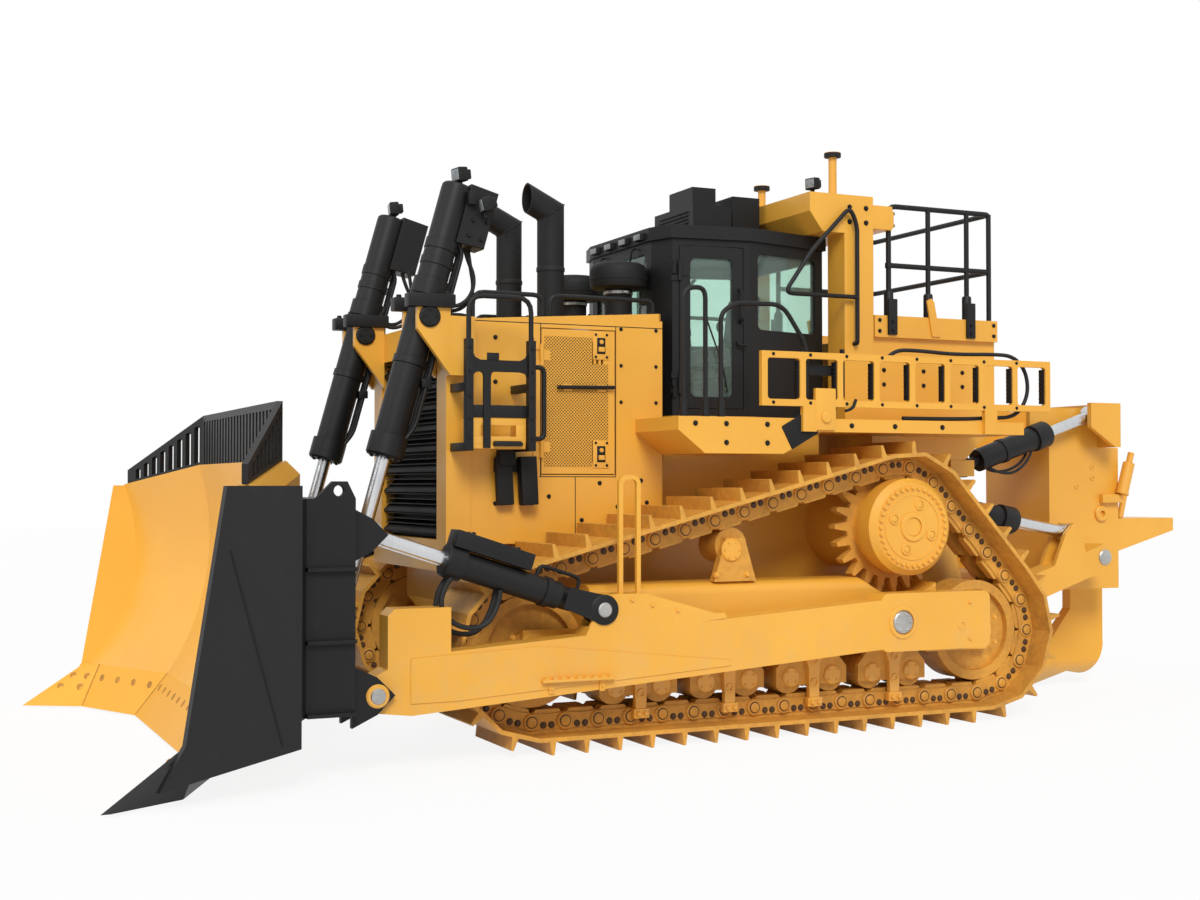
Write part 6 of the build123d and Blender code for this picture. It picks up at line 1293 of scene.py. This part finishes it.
# grab rails and deck rails with bent corners
railSpec = {
    "radius": 0.018, "corner": 0.10, "sides": 14, "hood": (0.80, 3.32, ((4.10, 3.54), (3.48, 2.61))),
    "fender": (1.57, 2.39), "front": ((2.74, 3.33), (2.56, 3.35)),
    "rear": ((2.43, 3.16), (2.31, 3.24), (1.90, 3.25), (1.69, 2.95)),
    "cab": (1.0, 0.95, 3.04, 3.417, ((0.84, 4.01), (0.91, 4.15), (1.274, 3.776), (1.53, 3.417)))}
radius, corner, sides = (railSpec[key] for key in ("radius", "corner", "sides"))
rails, deckRails = Form(), Form()
y, top, spans = railSpec["hood"]
for front, rear in spans:
    hoop = ((front, hoodTop(front)), (front, top), (rear, top), (rear, hoodTop(rear)))
    rails.bent([(st(ahead), y, z) for ahead, z in hoop], radius, corner, sides)
y, foot = railSpec["fender"]
for key in ("front", "rear"):
    first, last = railSpec[key][0][0], railSpec[key][-1][0]
    hoop = ((first, foot), *railSpec[key], (last, foot))
    rails.bent([(st(ahead), y, z) for ahead, z in hoop], radius, corner, sides)
    for ahead in (first, last):
        rails.lathe((st(ahead), y, foot), up, [(0.028, -0.001), (0.028, 0.12), (0.018, 0.125)], 16)
y, inner, low, mid, loop = railSpec["cab"]
first = loop[0][0]
hoop = ((first, inner, low), (first, y, low), *((ahead, y, z) for ahead, z in loop), (first, y, mid))
rails.bent([(st(ahead), off, z) for ahead, off, z in hoop], radius, 0.08, sides)
grab = rails.pair("bentRails", "tractor", "black_paint", black)
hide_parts("grab_rails")

near, far, foot = deckSpec["near"], deckSpec["far"], deckSpec["top"]
topRail, midRail = deckSpec["topRail"], deckSpec["midRail"]
belt = ((near, post), (far, post), (far, -post), (near, -post))
upper = [(x, y, topRail) for x, y in belt]
deckRails.bent([(near, post, foot), *upper, (near, -post, foot)], deckSpec["tube"], 0.07, sides)
deckRails.bent([(x, y, midRail) for x, y in belt], deckSpec["tube"], 0.07, sides)
for y in (-post, post):
    for ahead in deckSpec["posts"]:
        deckRails.tube([(st(ahead), y, foot), (st(ahead), y, topRail)], 0.021, sides)
for z in (midRail, topRail - 0.12):
    deckRails.ring((near, post, z - 0.02), up, 0.0215, 0.030, 0.04, 16)
deckPiece = deckRails.piece("deckRails", "tractor", "black_paint", black)
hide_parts("guardrails")

# toothed treads between the ladder's rails, and fine slats over the radiator core
treadSpec = {"first": st(-0.5505), "pitch": 0.33375, "count": 8, "low": 2.545, "high": 2.825, "teeth": 9}
slatSpec = {"count": 36, "margin": 0.03, "half": 0.004}
treads, slats = Form(), Form()
low, high = treadSpec["low"], treadSpec["high"]
for i in range(treadSpec["count"]):
    x = treadSpec["first"] + i * treadSpec["pitch"]
    treads.slab((x, 1.572, low), (x + 0.014, 1.628, high), 0.003)
    for k in range(treadSpec["teeth"]):
        z = low + 0.012 + k * (high - low - 0.024) / (treadSpec["teeth"] - 1)
        treads.slab((x + 0.012, 1.578, z - 0.007), (x + 0.020, 1.618, z + 0.007), 0.002)
treads.piece("ladderTreads", "tractor", "black_paint", blackMatt)
coreLow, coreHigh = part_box("radiator_core")
bottom, top = coreLow.z + slatSpec["margin"], coreHigh.z - slatSpec["margin"]
for i in range(slatSpec["count"]):
    z = bottom + i * (top - bottom) / (slatSpec["count"] - 1)
    low = (coreHigh.x - 0.085, coreLow.y + 0.02, z - slatSpec["half"])
    slats.slab(low, (coreHigh.x - 0.012, coreHigh.y - 0.02, z + slatSpec["half"]), 0)
slats.piece("radiatorSlats", "tractor", "black_paint", blackMatt)
print("rails and slats set")

# seat with its cushions in the cab
seatSpec = {
    "x": st(1.50), "armOut": 0.285, "fill": 0.7,
    "cushions": (
        ("seatCushion", 0.0, 2.770, (0.49, 0.48, 0.145), 0),
        ("seatBack", -0.185, 3.19, (0.60, 0.46, 0.13), 84),
        ("seatHead", -0.225, 3.56, (0.16, 0.28, 0.10), 84))}


def cushion(name, centre, size, tilt):
    form = Form()
    bm = form.bm
    bmesh.ops.create_grid(bm, x_segments=12, y_segments=12, size=0.5)
    lower = bm.verts[:]
    copy = bmesh.ops.duplicate(bm, geom=bm.verts[:] + bm.edges[:] + bm.faces[:])["geom"]
    for item in copy:
        if isinstance(item, bmesh.types.BMVert):
            item.co.z = 1.0
    rims = [edge for edge in bm.edges if edge.is_boundary]
    rims.sort(key=lambda edge: edge.verts[0] not in lower)
    bmesh.ops.bridge_loops(bm, edges=rims)
    spin = Matrix.Rotation(tilt, 3, "Y")
    for v in bm.verts:
        x, y, z = v.co
        endPull = 0.05 * (1 - min(1, abs(2 * x)) ** 2) * (abs(2 * y) > 0.99)
        sidePull = 0.05 * (1 - min(1, abs(2 * y)) ** 2) * (abs(2 * x) > 0.99)
        pull = 1 - endPull - sidePull
        bulge = (1 - (2 * x) ** 4) * (1 - (2 * y) ** 4)
        channel = 0.10 * math.exp(-((abs(2 * y) - 0.62) / 0.05) ** 2)
        height = z * (0.62 + 0.38 * bulge) - channel if z > 0.5 else 0.0
        v.co = Vector(centre) + spin @ Vector((x * pull * size[0], y * pull * size[1], height * size[2]))
    made = form.piece(name, "tractor", "cab_trim", cloth, 1.2)
    soften = made.modifiers.new("soften", "SUBSURF")
    soften.levels = 1
    soften.render_levels = 1


base = Form()
knob = [(0.018, 0), (0.030, 0.02), (0.030, 0.06), (0.015, 0.085)]
x = seatSpec["x"]
base.slab((x - 0.22, -0.19, 2.431), (x + 0.22, 0.19, 2.70), 0.02)
base.slab((x - 0.25, -0.24, 2.70), (x + 0.25, 0.24, 2.775), 0.02)
for y in (-seatSpec["armOut"], seatSpec["armOut"]):
    base.slab((x - 0.20, y - 0.04, 2.93), (x + 0.24, y + 0.04, 3.05), 0.02)
    base.slab((x - 0.12, y - 0.03, 2.72), (x + 0.02, y + 0.03, 2.95), 0.01)
    base.bent([(x + 0.20, y, 3.04), (x + 0.22, y, 3.17)], 0.018, 0.02)
    base.lathe((x + 0.22, y, 3.16), (0.1, 0, 1), knob, 16)
seatBase = base.piece("seatBase", "tractor", "cab_trim", trim)
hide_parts("operator_seat")
for name, back, z, size, tilt in seatSpec["cushions"]:
    cushion(name, (x + back, 0, z), size, math.radians(tilt))
print("seat set")
